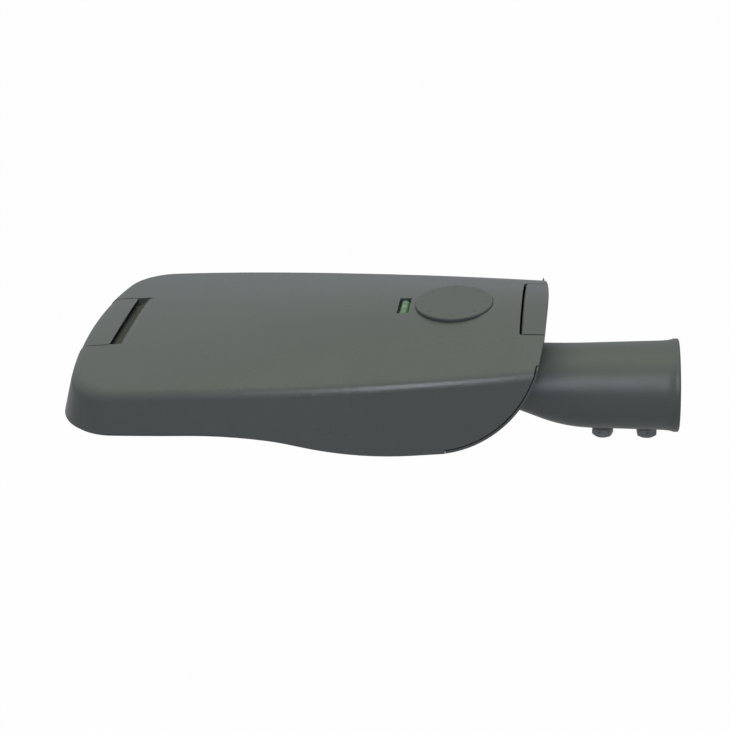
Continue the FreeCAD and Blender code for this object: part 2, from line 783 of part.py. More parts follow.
def cap_groove(play):
    """Ring round the cap's neck, in the top of the pad, for the cap's seal."""
    inner, outer, depth = CAP_GROOVE
    base = V(CAP_X, 0, CAP_TOP_Z - CAP_THICKNESS - depth)
    ring = rod(base, AXIS_Z, depth + play, outer + play)
    return ring.cut(rod(base, AXIS_Z, depth + play, inner - play))


def top_cover():
    cover = fuse([cover_shell(), cap_pad()] + rear_lips()).common(rear_plan_limit())
    window = box(LEVEL_X - LEVEL_WINDOW_X / 2, LEVEL_X + LEVEL_WINDOW_X / 2,
                 -LEVEL_WINDOW_Y / 2, LEVEL_WINDOW_Y / 2, SEAL_TOP_Z, CEILING_Z)
    cuts = [
        seal_band(GASKET_WIDTH + GROOVE_PLAY, LEDGE_Z - 1, LEDGE_Z + GROOVE_DEPTH),
        hinge_notch(),
        dish(0.0),
        flap_region(FLAP_HALF + FLAP_GAP, LIP_TOP_Z),
        window,
        rod(V(CAP_X, 0, CAP_TOP_Z - CAP_THICKNESS), AXIS_Z, FAR, CAP_RADIUS + CAP_GAP),
        rod(V(CAP_X, 0, SEAL_TOP_Z), AXIS_Z, 2 * FAR, CAP_NECK_RADIUS + 0.4),
        cross_rod(HINGE_X, HINGE_Z, LUG_END, HINGE_PIN_RADIUS + PIN_PLAY),
        cross_rod(LATCH_X, LATCH_Z, LATCH_PIN_HALF, LATCH_PIN_RADIUS + PIN_PLAY),
        flap_edge_sweep(),
        cap_groove(CAP_GROOVE_PLAY),
    ]
    return cover.cut(cuts)


def cover_gasket():
    """Silicone cord in the groove of the cover, just over the housing's wall."""
    top = LEDGE_Z + GROOVE_DEPTH - 0.1
    return seal_band(GASKET_WIDTH, SEAL_TOP_Z + GASKET_GAP, top)


# Latch

SPRING_RADIUS = LATCH_PIN_RADIUS + PIN_PLAY + SPRING_PLAY + SPRING_WIRE


def spring_room():
    """Relief round the spring in the inside of the flap."""
    length = SPRING_TURNS * SPRING_PITCH + 2 * SPRING_WIRE + 1.0
    return rod(V(LATCH_X, SPRING_Y - SPRING_WIRE - 0.5, LATCH_Z), AXIS_Y, length,
               SPRING_RADIUS + SPRING_WIRE + SPRING_PLAY)


def front_latch():
    """Flap that continues the cover's skin over the nose, with a hook under its middle."""
    region = flap_region(FLAP_HALF, FLAP_LOW_Z)
    outer = OUTER_FORM.translated(V(FLAP_INSET, 0, 0)).common(region)
    inner = INNER_FORM.translated(V(FLAP_INSET, 0, 0))
    eyes = []
    for y0, y1 in ((HOOK_HALF + 14, FLAP_HALF), (-FLAP_HALF, -HOOK_HALF - 14), (-HOOK_HALF, HOOK_HALF)):
        eye = rod(V(LATCH_X, y0, LATCH_Z), AXIS_Y, y1 - y0, LATCH_BOSS_RADIUS)
        web = side_polygon([
            (NOSE_TIP_X, LATCH_Z),
            (LATCH_X + LATCH_BOSS_RADIUS, LATCH_Z),
            (LATCH_X + LATCH_BOSS_RADIUS, LATCH_Z + 3),
            (NOSE_TIP_X + 8, LATCH_Z + 12),
        ]).common(box(4 * -FAR, 0, y0, y1, 0, CEILING_Z))
        eyes += [eye, web.common(outer)]
    arm_x = HOOK_ARM_X + HOOK_ARM_THICKNESS
    hook = side_polygon([
        (LATCH_X, LATCH_Z + LATCH_BOSS_RADIUS),
        (HOOK_ARM_X, LATCH_Z - 2),
        (HOOK_ARM_X, HOOK_TIP_Z),
        (HOOK_ARM_X - HOOK_TIP_REACH, HOOK_TIP_Z),
        (HOOK_ARM_X - HOOK_TIP_REACH, HOOK_TIP_Z - 1.0),
        (HOOK_ARM_X, HOOK_LOW_Z - 0.8),
        (arm_x, HOOK_LOW_Z),
        (arm_x, LATCH_Z + 4),
        (LATCH_X + LATCH_BOSS_RADIUS, LATCH_Z + 10),
    ], HOOK_HALF)
    latch = fuse([outer.cut(inner)] + eyes + [hook])
    thin_z = crest_z(FLAP_REAR_X) - FLAP_EDGE
    bevel = side_polygon([(FLAP_REAR_X + 1, thin_z + 1), (FLAP_REAR_X + 1, thin_z - 6), (FLAP_REAR_X - 6, thin_z - 6)])
    return latch.cut([cross_rod(LATCH_X, LATCH_Z, FAR, LATCH_PIN_RADIUS + PIN_PLAY), bevel, spring_room()])


def latch_pin():
    return cross_rod(LATCH_X, LATCH_Z, LATCH_PIN_HALF, LATCH_PIN_RADIUS)


def latch_spring():
    """Torsion spring round the pin, with one leg on the flap and one on the cover's lip."""
    helix = Part.makeHelix(SPRING_PITCH, SPRING_TURNS * SPRING_PITCH, SPRING_RADIUS)
    profile = Part.Wire([Part.Circle(V(SPRING_RADIUS, 0, 0), AXIS_Y, SPRING_WIRE).toShape()])
    coil = Part.Wire(helix.Edges).makePipeShell([profile], True, True)
    coil.Placement = FreeCAD.Placement(V(LATCH_X, SPRING_Y, LATCH_Z), FreeCAD.Rotation(AXIS_Z, AXIS_Y))
    return coil


LEAF_BACK_X = HOOK_ARM_X - HOOK_TIP_REACH - 2.4


def keeper_leaf():
    """Spring steel leaf on the housing's nose that the hook snaps under."""
    foot_z = HOUSING_FRONT_Z + NOSE_FRAME_THICKNESS
    foot_x = LEAF_BACK_X + LEAF_FOOT
    tip_x = HOOK_ARM_X - HOOK_TIP_REACH + LEAF_OVERLAP
    tip_z = HOOK_TIP_Z + LEAF_CLEARANCE
    back_z = tip_z + 1.0
    leaf = side_polygon([
        (LEAF_BACK_X, foot_z),
        (foot_x, foot_z),
        (foot_x, foot_z + LEAF_SHEET),
        (LEAF_BACK_X + LEAF_SHEET, foot_z + LEAF_SHEET),
        (LEAF_BACK_X + LEAF_SHEET, back_z),
        (tip_x, tip_z),
        (tip_x, tip_z + LEAF_SHEET),
        (LEAF_BACK_X, back_z + LEAF_SHEET),
    ], LEAF_HALF)
    for x, y in keeper_screw_places():
        leaf = leaf.cut(rod(V(x, y, foot_z - 1), AXIS_Z, 4, FRAME_SCREW + SCREW_PLAY))
    return leaf


# Lower housing

def above_floor(offset):
    """Everything above the housing's underside and inside its rear wall, moved in by offset."""
    radius = REAR_ARC_RADIUS - offset
    front_z = HOUSING_FRONT_Z + offset
    low_z = SKIRT_LOW_Z + offset
    nose_x = NOSE_TIP_X - 30
    low = V(REAR_ARC_X, 0, low_z)
    back = rear_arc_at(radius, 0)
    roof = CEILING_Z + 20
    return side_solid(wave(front_z, low_z) + [
        line(V(WAVE_REAR_X, 0, low_z), low),
        arc(low, rear_arc_at(radius, 45), back),
        line(back, V(back.x, 0, roof)),
        line(V(back.x, 0, roof), V(nose_x, 0, roof)),
        line(V(nose_x, 0, roof), V(nose_x, 0, front_z)),
        line(V(nose_x, 0, front_z), V(WAVE_FRONT_X, 0, front_z)),
    ])


UNDERSIDE = above_floor(0.0)
FLOOR_TOP = above_floor(FLOOR_THICKNESS)
DRAFT_HOUSING = drafted(HOUSING_INSET)
BAY_LIMIT_FRONT = BAY_FRONT_X - BAY_WALL
BAY_LIMIT_REAR = BAY_REAR_X + BAY_WALL
GASKET_LEDGE_Z = FRAME_Z + FRAME_THICKNESS + GLASS_THICKNESS + GLASS_GASKET
CORE_Z = GASKET_LEDGE_Z + BAY_WALL


def housing_floor():
    """Floor that runs up into the rear wall, clear of the cover's skirt."""
    top = HINGE_Z - REAR_SWEEP
    sheet = UNDERSIDE.cut(FLOOR_TOP).common(DRAFT_HOUSING)
    sheet = sheet.common(box(NOSE_TIP_X - 5, BACK_X, -FAR, FAR, BOTTOM_Z, top))
    sweep = cross_rod(HINGE_X, HINGE_Z, FAR, REAR_SWEEP)
    corner_y, corner_z = WALL_CORNER
    corner = box(WAVE_REAR_X, BACK_X, corner_y, FAR, corner_z, CEILING_Z)
    return sheet.cut([sweep, corner, mirror_y(corner)])


def housing_rim():
    """Thin edge of the rear wall that fills the step in the cover and lies flush with its sides."""
    front_gap, top_gap = RIM_END_GAPS
    strip = UNDERSIDE.cut(above_floor(RIM_STEP - RIM_GAP)).common(drafted(0.0))
    strip = strip.common(box(STEP_FRONT_X + front_gap, BACK_X, -FAR, FAR, BOTTOM_Z, STEP_TOP_Z - top_gap))
    strip = strip.common(rear_plan_limit())
    return strip.cut(cross_rod(HINGE_X, HINGE_Z, RIM_NOTCH_HALF, REAR_SWEEP))


def housing_tub():
    """Driver compartment: wall round it up to the seal, open towards the cover."""
    wall_inset = SEAL_INSET + HOUSING_WALL
    outer = UNDERSIDE.common(drafted(SEAL_INSET))
    outer = outer.common(box(SEAL_FRONT_X, SEAL_REAR_X, -FAR, FAR, BOTTOM_Z, SEAL_TOP_Z))
    room = drafted(wall_inset).common(FLOOR_TOP)
    rear = SEAL_REAR_X - HOUSING_WALL
    deep = room.common(box(BAY_LIMIT_REAR, rear, -FAR, FAR, BOTTOM_Z, SEAL_TOP_Z + 1))
    shallow = room.common(box(SEAL_FRONT_X + HOUSING_WALL, rear, -FAR, FAR, SHELF_TOP_Z, SEAL_TOP_Z + 1))
    return outer.cut(deep).cut(shallow)


def light_bay_block():
    """Block in front of the driver compartment, before the light compartment is cut into it."""
    shelf = box(BAY_LIMIT_FRONT, BAY_LIMIT_REAR, -FAR, FAR, BOTTOM_Z, SHELF_TOP_Z)
    ledge = box(BAY_LIMIT_FRONT - GLASS_LIP, BAY_LIMIT_REAR + GLASS_LIP, -FAR, FAR, BOTTOM_Z, CORE_Z)
    frame = box(NOSE_TIP_X - 5, BAY_LIMIT_FRONT - 1, -FAR, FAR, BOTTOM_Z, HOUSING_FRONT_Z + NOSE_FRAME_THICKNESS)
    seat = box(BAY_LIMIT_FRONT, BAY_LIMIT_REAR + GLASS_LIP + FRAME_LIP, -FAR, FAR,
               BOTTOM_Z, FRAME_Z + FRAME_THICKNESS + BAY_WALL)
    bosses = [rod(V(x, y, FRAME_Z), AXIS_Z, CORE_Z - FRAME_Z, FRAME_BOSS_RADIUS) for x, y in frame_screw_places()
              if abs(y) < BAY_HALF]
    return UNDERSIDE.common(DRAFT_HOUSING).common(fuse([shelf, ledge, frame, seat] + bosses))


def light_bay_cuts():
    """Light compartment from below, with the seats of the glass and its frame, and cored sides."""
    roof_z = SHELF_TOP_Z - SHELF_THICKNESS
    room = rounded_plate(BAY_FRONT_X, BAY_REAR_X, BAY_HALF, BOTTOM_Z, roof_z, BAY_CORNER)
    glass_seat = rounded_plate(BAY_FRONT_X - GLASS_LIP, BAY_REAR_X + GLASS_LIP, BAY_HALF + GLASS_LIP,
                               BOTTOM_Z, GASKET_LEDGE_Z, BAY_CORNER + GLASS_LIP)
    lip = GLASS_LIP + FRAME_LIP
    frame_seat = rounded_plate(BAY_FRONT_X - lip, BAY_REAR_X + lip, BAY_HALF + lip,
                               BOTTOM_Z, FRAME_Z + FRAME_THICKNESS, BAY_CORNER + lip)
    bay_side = BAY_HALF + BAY_WALL
    core = drafted(SEAL_INSET + HOUSING_WALL).cut(box(4 * -FAR, 0, -bay_side, bay_side, 2 * BOTTOM_Z, 2 * CEILING_Z))
    inside = core.common(box(SEAL_FRONT_X + HOUSING_WALL, BAY_REAR_X, -FAR, FAR, CORE_Z, SEAL_TOP_Z + 1))
    outside = core.common(box(BAY_FRONT_X + 6, SEAL_FRONT_X - HOUSING_WALL, -FAR, FAR, CORE_Z, SHELF_TOP_Z + 1))
    return [room, glass_seat, frame_seat, inside, outside]


def hinge_block():
    """Knuckle on the rear wall that shows through the notch, flush with the cover's top."""
    block = OUTER_FORM.common(box(BLOCK_FRONT_X, BACK_X, -BLOCK_HALF, BLOCK_HALF, BLOCK_BASE_Z, CEILING_Z))
    slope = side_polygon([
        (BLOCK_FRONT_X - 1, BLOCK_BASE_Z - 1),
        (rear_arc_point(REAR_ARC_RADIUS, z=BLOCK_BASE_Z).x, BLOCK_BASE_Z - 1),
        (rear_arc_point(REAR_ARC_RADIUS, z=BLOCK_BASE_Z).x, BLOCK_BASE_Z),
        (BACK_X, BLOCK_BASE_Z + 1.2 * (BACK_X - rear_arc_point(REAR_ARC_RADIUS, z=BLOCK_BASE_Z).x)),
        (BACK_X, CEILING_Z + 1),
        (BLOCK_FRONT_X - 1, CEILING_Z + 1),
    ])
    block = block.common(slope).common(rear_plan_limit())
    edges = [e for e in block.Edges
             if abs(e.BoundBox.XMin - BLOCK_FRONT_X) < 0.01 and e.BoundBox.XLength < 0.01
             and e.BoundBox.YLength > BLOCK_HALF and e.BoundBox.ZMin > HINGE_Z]
    block = block.makeFillet(BLOCK_EDGE, edges)
    pocket = box(BLOCK_FRONT_X + HOUSING_WALL, REAR_EDGE_X - 2 * HOUSING_WALL, 4, BLOCK_HALF - 4,
                 BLOCK_BASE_Z - 1, HINGE_Z - 2.2 * HINGE_PIN_RADIUS - 2)
    return block.cut(pocket).cut(mirror_y(pocket))


def joint_pad():
    """Root of the spigot's form on the rear wall, with a flat face on both of its sides."""
    return SOCKET_FORM.common(beyond_joint(PLATFORM_DISTANCE)).cut(beyond_joint(JOINT_DISTANCE))


def joint_seats():
    """Round bosses on the inside of the rear wall, under the heads of the joint screws."""
    length = JOINT_DISTANCE - PLATFORM_DISTANCE
    seats = [rod(joint_point(PLATFORM_DISTANCE, along, y), JOINT_AXIS, length, JOINT_SEAT_RADIUS)
             for y, along in joint_screw_places()]
    return [seat.common(UNDERSIDE) for seat in seats]


def joint_screw_places():
    places = []
    for y, along in JOINT_SCREWS:
        places += [(y, along), (-y, along)]
    return places


TRAY_POSTS = [(x, s * (TRAY_HALF - 16.0)) for x in (TRAY_X[0] + 12.0, TRAY_X[1] - 12.0) for s in (1, -1)]


def frame_screw_places():
    """Eight screws round the glass, in the middle of the frame's lip."""
    off = GLASS_LIP + FRAME_LIP / 2
    x0 = BAY_FRONT_X - off
    x1 = BAY_REAR_X + off
    y = BAY_HALF + off
    middle = (x0 + x1) / 2
    places = [(middle - 38, y), (middle + 38, y), (x0, BAY_HALF / 2), (x1, BAY_HALF / 2)]
    return places + [(px, -py) for px, py in places]


def housing_screw_holes():
    """Holes for the screws of the tray, the spigot, the glass frame and the keeper leaf."""
    holes = []
    for x, y in TRAY_POSTS:
        holes.append(rod(V(x, y, TRAY_Z - TRAY_SCREW_DEPTH - 0.5), AXIS_Z, 9, TRAY_SCREW + SCREW_PLAY))
    for y, along in joint_screw_places():
        holes.append(rod(joint_point(PLATFORM_DISTANCE - 1, along, y), JOINT_AXIS, 25, JOINT_SCREW_RADIUS + 0.3))
    for x, y in frame_screw_places():
        holes.append(rod(V(x, y, FRAME_Z), AXIS_Z, FRAME_SCREW_LENGTH + 1, FRAME_SCREW + SCREW_PLAY))
    low = HOUSING_FRONT_Z + NOSE_FRAME_THICKNESS + LEAF_SHEET - KEEPER_SCREW_LENGTH - 0.2
    for x, y in keeper_screw_places():
        holes.append(rod(V(x, y, low), AXIS_Z, 8, FRAME_SCREW + SCREW_PLAY))
    return holes


def lower_housing():
    posts = [rod(V(x, y, SKIRT_LOW_Z + 1), AXIS_Z, TRAY_Z - SKIRT_LOW_Z - 1, POST_RADIUS) for x, y in TRAY_POSTS]
    posts = [post.common(UNDERSIDE) for post in posts]
    body = fuse([housing_floor(), housing_tub(), light_bay_block(), housing_rim(), hinge_block(), joint_pad()]
                + posts + joint_seats())
    cuts = light_bay_cuts() + housing_screw_holes() + [
        rod(joint_point(PLATFORM_DISTANCE - 5, GLAND_ALONG, 0), JOINT_AXIS, 30, GLAND_THREAD + SCREW_PLAY),
        rod(V(VENT_X, VENT_Y, SKIRT_LOW_Z - 5), AXIS_Z, 20, VENT_THREAD + SCREW_PLAY),
        cross_rod(HINGE_X, HINGE_Z, BLOCK_HALF + 1, HINGE_PIN_RADIUS + PIN_PLAY),
    ]
    return body.cut(cuts)


def hinge_pin():
    return cross_rod(HINGE_X, HINGE_Z, LUG_END - 0.3, HINGE_PIN_RADIUS)


def pin_clips():
    """Open spring clips on the hinge pin, in the gaps between block and ears."""
    y = BLOCK_HALF + (BLOCK_SIDE_GAP - PIN_CLIP) / 2
    ring = rod(V(HINGE_X, y, HINGE_Z), AXIS_Y, PIN_CLIP, LUG_RADIUS - 0.6)
    ring = ring.cut(rod(V(HINGE_X, y - 1, HINGE_Z), AXIS_Y, 3, HINGE_PIN_RADIUS + SCREW_PLAY))
    mouth = 0.7 * HINGE_PIN_RADIUS
    ring = ring.cut(box(HINGE_X - 6, HINGE_X, y - 1, y + 2, HINGE_Z - mouth, HINGE_Z + mouth))
    return Part.makeCompound([ring, mirror_y(ring)])


def keeper_screw_places():
    """Two screws beside the hook, through the foot of the leaf."""
    x = LEAF_BACK_X + LEAF_FOOT - 4
    y = (HOOK_HALF + LEAF_HALF) / 2
    return [(x, y), (x, -y)]


def keeper_screws():
    """Pan head screws that hold the keeper leaf down on the nose of the housing."""
    seat_z = HOUSING_FRONT_Z + NOSE_FRAME_THICKNESS + LEAF_SHEET
    return Part.makeCompound([pan_screw(V(x, y, seat_z), AXIS_Z * -1, FRAME_SCREW, KEEPER_SCREW_LENGTH)
                              for x, y in keeper_screw_places()])


# Light compartment

def led_board():
    roof_z = SHELF_TOP_Z - SHELF_THICKNESS
    board = rounded_plate(BAY_FRONT_X + 2, BAY_REAR_X - 2, BAY_HALF - 2, roof_z - BOARD_THICKNESS, roof_z,
                          BAY_CORNER - 2)
    for x, y in board_screw_places():
        board = board.cut(rod(V(x, y, 0), AXIS_Z, FAR, FRAME_SCREW + SCREW_PLAY))
    return board


def led_places():
    x_mid = (BAY_FRONT_X + BAY_REAR_X) / 2
    xs = [x_mid + (c - (LED_COLUMNS - 1) / 2) * LED_PITCH_X for c in range(LED_COLUMNS)]
    ys = [(r - (LED_ROWS - 1) / 2) * LED_PITCH_Y for r in range(LED_ROWS)]
    return [(x, y) for x in xs for y in ys]


def board_screw_places():
    """Screws between the rows of lenses."""
    x_mid = (BAY_FRONT_X + BAY_REAR_X) / 2
    return [(x_mid + sx * LED_PITCH_X, sy * 3 * LED_PITCH_Y) for sx in (-1, 1) for sy in (-1, 0, 1)]


BOARD_Z = SHELF_TOP_Z - SHELF_THICKNESS - BOARD_THICKNESS


def leds():
    h = LED_SIZE / 2
    return Part.makeCompound([box(x - h, x + h, y - h, y + h, BOARD_Z - LED_HEIGHT, BOARD_Z) for x, y in led_places()])


LENS_TOP = BOARD_Z - LED_HEIGHT - LENS_GAP


def lens_plate():
    """Clear moulded plate with one lens under each LED, on short feet against the board."""
    low = LENS_TOP - LENS_PLATE
    plate = rounded_plate(BAY_FRONT_X + 3, BAY_REAR_X - 3, BAY_HALF - 3, low, LENS_TOP, BAY_CORNER - 3)
    dome_radius = (LENS_RADIUS ** 2 + LENS_HEIGHT ** 2) / (2 * LENS_HEIGHT)
    domes = []
    for x, y in led_places():
        ball = Part.makeSphere(dome_radius, V(x, y, low - LENS_HEIGHT + dome_radius))
        domes.append(ball.common(box(x - 10, x + 10, y - 10, y + 10, low - LENS_HEIGHT - 1, low + 0.5)))
    feet = [rod(V(x, y, LENS_TOP), AXIS_Z, BOARD_Z - LENS_TOP, 3.2) for x, y in board_screw_places()]
    whole = fuse([plate] + domes + feet)
    for x, y in board_screw_places():
        whole = whole.cut(rod(V(x, y, 0), AXIS_Z, FAR, FRAME_SCREW + SCREW_PLAY))
    return whole


def board_screws():
    """Screws that hold lens plate and board up against the housing."""
    low = LENS_TOP - LENS_PLATE
    length = BOARD_Z + BOARD_THICKNESS - low
    return Part.makeCompound([pan_screw(V(x, y, low), AXIS_Z, FRAME_SCREW, length) for x, y in board_screw_places()])


def glass_outline(lip, z0, z1, corner):
    return rounded_plate(BAY_FRONT_X - lip, BAY_REAR_X + lip, BAY_HALF + lip, z0, z1, corner)


def front_glass():
    z = FRAME_Z + FRAME_THICKNESS
    return glass_outline(GLASS_LIP - GLASS_PLAY, z, z + GLASS_THICKNESS, BAY_CORNER + GLASS_LIP)


def glass_gasket():
    z = FRAME_Z + FRAME_THICKNESS + GLASS_THICKNESS
    ring = glass_outline(GLASS_LIP - GLASS_PLAY, z, z + GLASS_GASKET, BAY_CORNER + GLASS_LIP)
    return ring.cut(glass_outline(0.3, z - 1, z + GLASS_GASKET + 1, BAY_CORNER))


def glass_frame():
    """Painted steel frame that holds the glass from below."""
    lip = GLASS_LIP + FRAME_LIP - GLASS_PLAY
    ring = glass_outline(lip, FRAME_Z, FRAME_Z + FRAME_THICKNESS, BAY_CORNER + lip)
    ring = ring.cut(glass_outline(-1.0, FRAME_Z - 1, FRAME_Z + FRAME_THICKNESS + 1, BAY_CORNER - 1))
    sink = (FLAT_HEAD - 1) * FRAME_SCREW
    for x, y in frame_screw_places():
        ring = ring.cut(rod(V(x, y, 0), AXIS_Z, FAR, FRAME_SCREW + SCREW_PLAY))
        ring = ring.cut(Part.makeCone(FLAT_HEAD * FRAME_SCREW, FRAME_SCREW, sink, V(x, y, FRAME_Z)))
    return ring


def frame_screws():
    """Flat head screws through the frame, level with its underside."""
    return Part.makeCompound([flat_screw(V(x, y, FRAME_Z), AXIS_Z, FRAME_SCREW, FRAME_SCREW_LENGTH)
                              for x, y in frame_screw_places()])


# Driver compartment

TRAY_TOP = TRAY_Z + TRAY_SHEET


def gear_tray():
    """Folded sheet plate on four posts, with its long edges turned up round a bend."""
    outside = box(TRAY_X[0], TRAY_X[1], -TRAY_HALF, TRAY_HALF, TRAY_Z, TRAY_Z + TRAY_FLANGE)
    inside = box(TRAY_X[0] - 1, TRAY_X[1] + 1, TRAY_SHEET - TRAY_HALF, TRAY_HALF - TRAY_SHEET,
                 TRAY_TOP, TRAY_Z + TRAY_FLANGE + 1)

    def low_long_edges(block, z):
        return [e for e in block.Edges if e.BoundBox.XLength > 1 and e.BoundBox.ZMax < z + 0.01]

    outside = outside.makeFillet(2 * TRAY_SHEET, low_long_edges(outside, TRAY_Z))
    inside = inside.makeFillet(TRAY_SHEET, low_long_edges(inside, TRAY_TOP))
    tray = outside.cut(inside)
    for x, y in TRAY_POSTS + driver_screw_places():
        tray = tray.cut(rod(V(x, y, TRAY_Z - 5), AXIS_Z, 20, TRAY_SCREW + SCREW_PLAY))
    return tray


def tray_screws():
    length = TRAY_SHEET + TRAY_SCREW_DEPTH
    return Part.makeCompound([pan_screw(V(x, y, TRAY_TOP), AXIS_Z * -1, TRAY_SCREW, length) for x, y in TRAY_POSTS])


def driver_screw_places():
    y = (DRIVER_Y[0] + DRIVER_Y[1]) / 2
    return [(DRIVER_X[0] + DRIVER_EAR, y), (DRIVER_X[1] - DRIVER_EAR, y)]


def led_driver():
    """Driver case with rounded long edges and a fixing ear at each end."""
    case = box(DRIVER_X[0] + 2 * DRIVER_EAR, DRIVER_X[1] - 2 * DRIVER_EAR, DRIVER_Y[0], DRIVER_Y[1],
               TRAY_TOP, TRAY_TOP + DRIVER_HEIGHT)
    top = [e for e in case.Edges if e.BoundBox.ZMin > TRAY_TOP + 1]
    case = case.makeFillet(2.5, top)
    y = (DRIVER_Y[0] + DRIVER_Y[1]) / 2
    ears = box(DRIVER_X[0], DRIVER_X[1], y - 12, y + 12, TRAY_TOP, TRAY_TOP + 2.5)
    case = fuse([case, ears])
    for x, py in driver_screw_places():
        case = case.cut(rod(V(x, py, TRAY_TOP - 1), AXIS_Z, 6, TRAY_SCREW + SCREW_PLAY))
    return case


def driver_screws():
    seat = TRAY_TOP + 2.5
    return Part.makeCompound([pan_screw(V(x, y, seat), AXIS_Z * -1, TRAY_SCREW, 5) for x, y in driver_screw_places()])


def surge_protector():
    block = box(SURGE_X[0], SURGE_X[1], SURGE_Y[0], SURGE_Y[1], TRAY_TOP, TRAY_TOP + SURGE_HEIGHT)
    return block.makeFillet(2.0, [e for e in block.Edges if e.BoundBox.ZMax > TRAY_TOP + 1])


def terminal_block():
    """Three-pole terminal with wire funnels at both sides and screw wells on top."""
    block = box(TERMINAL_X[0], TERMINAL_X[1], TERMINAL_Y[0], TERMINAL_Y[1], TRAY_TOP, TRAY_TOP + TERMINAL_HEIGHT)
    poles = 3
    pitch = (TERMINAL_X[1] - TERMINAL_X[0]) / poles
    for k in range(poles):
        x = TERMINAL_X[0] + (k + 0.5) * pitch
        block = block.cut(rod(V(x, TERMINAL_Y[0] - 1, TRAY_TOP + 9), AXIS_Y, 8, 3.5))
        block = block.cut(rod(V(x, TERMINAL_Y[1] - 7, TRAY_TOP + 9), AXIS_Y, 8, 3.5))
        for y in (TERMINAL_Y[0] + 5, TERMINAL_Y[1] - 5):
            block = block.cut(rod(V(x, y, TRAY_TOP + TERMINAL_HEIGHT - 6), AXIS_Z, 8, 3.0))
    return block


def cable_gland():
    """Gland in the wall between spigot and driver compartment, with an open inlet."""
    seat = joint_point(JOINT_DISTANCE, GLAND_ALONG, 0)
    flange = hexagon(24.0, 5.0, seat, JOINT_AXIS)
    dome = rod(joint_point(JOINT_DISTANCE + 4, GLAND_ALONG, 0), JOINT_AXIS, 12, 10.0)
    rim = [e for e in dome.Edges if e.Length > 20 and e.CenterOfMass.x > seat.x + 8]
    dome = dome.makeFillet(3.0, rim)
    thread = rod(joint_point(PLATFORM_DISTANCE - 8, GLAND_ALONG, 0), JOINT_AXIS,
                 JOINT_DISTANCE - PLATFORM_DISTANCE + 9, GLAND_THREAD)
    inlet = rod(joint_point(PLATFORM_DISTANCE - 10, GLAND_ALONG, 0), JOINT_AXIS, 60, GLAND_INLET)
    return fuse([flange, dome, thread]).cut(inlet)


def gland_nut():
    seat = joint_point(PLATFORM_DISTANCE - 5.2, GLAND_ALONG, 0)
    nut = hexagon(25.0, 5.0, seat, JOINT_AXIS)
    return nut.cut(rod(joint_point(PLATFORM_DISTANCE - 10, GLAND_ALONG, 0), JOINT_AXIS, 20, GLAND_THREAD + SCREW_PLAY))


def vent_plug():
    """Pressure valve in the floor, head downwards."""
    head = rod(V(VENT_X, VENT_Y, SKIRT_LOW_Z - 3.2), AXIS_Z, 3.0, 8.5)
    head = head.makeFillet(0.8, [e for e in head.Edges if e.BoundBox.ZMax < SKIRT_LOW_Z - 3])
    stem = rod(V(VENT_X, VENT_Y, SKIRT_LOW_Z - 0.5), AXIS_Z, FLOOR_THICKNESS + 5, VENT_THREAD)
    return head.fuse(stem)


# Spigot

def spigot_inside():
    """Bore for the pole, stop behind it, and hollow neck that leaves a boss round each joint screw."""
    hollow = neck_form(NECK_WALL).common(box(-3 * FAR, -BORE_DEPTH - STOP_THICKNESS, -FAR, FAR, -FAR, FAR))
    for y, along in joint_screw_places():
        hollow = hollow.cut(rod(joint_point(JOINT_DISTANCE - 1, along, y), JOINT_AXIS, 18, JOINT_BOSS_RADIUS))
    chamfer = 0.5
    return [
        hollow,
        rod(V(1, 0, 0), AXIS_X * -1, BORE_DEPTH + 1, BORE_RADIUS),
        rod(V(-BORE_DEPTH + 1, 0, 0), AXIS_X * -1, STOP_THICKNESS + 3, STOP_OPENING),
        Part.makeCone(BORE_RADIUS + chamfer, BORE_RADIUS, chamfer, V(0, 0, 0), AXIS_X * -1),
    ]


def bead():
    """Bead round the mouth: rounded front edge, narrow rim, and a hollow flare that ends just above the tube."""
    end_x = -BEAD_WIDTH - BEAD_FLARE
    foot = tube_radius(end_x) + BEAD_STEP
    rise = BEAD_RADIUS - foot
    radius = (BEAD_FLARE ** 2 + rise ** 2) / (2 * rise)
    half_turn = math.asin(BEAD_FLARE / radius) / 2
    bulge = (1 - math.sqrt(0.5)) * BEAD_EDGE
    outline = Part.Wire([
        arc(V(end_x, 0, foot),
            V(end_x + radius * math.sin(half_turn), 0, foot + radius * (1 - math.cos(half_turn))),
            V(-BEAD_WIDTH, 0, BEAD_RADIUS)),
        line(V(-BEAD_WIDTH, 0, BEAD_RADIUS), V(-BEAD_EDGE, 0, BEAD_RADIUS)),
        arc(V(-BEAD_EDGE, 0, BEAD_RADIUS), V(-bulge, 0, BEAD_RADIUS - bulge), V(0, 0, BEAD_RADIUS - BEAD_EDGE)),
        line(V(0, 0, BEAD_RADIUS - BEAD_EDGE), V(0, 0, BORE_RADIUS)),
        line(V(0, 0, BORE_RADIUS), V(end_x, 0, BORE_RADIUS)),
        line(V(end_x, 0, BORE_RADIUS), V(end_x, 0, foot)),
    ])
    return Part.Face(outline).revolve(V(0, 0, 0), AXIS_X, 360)


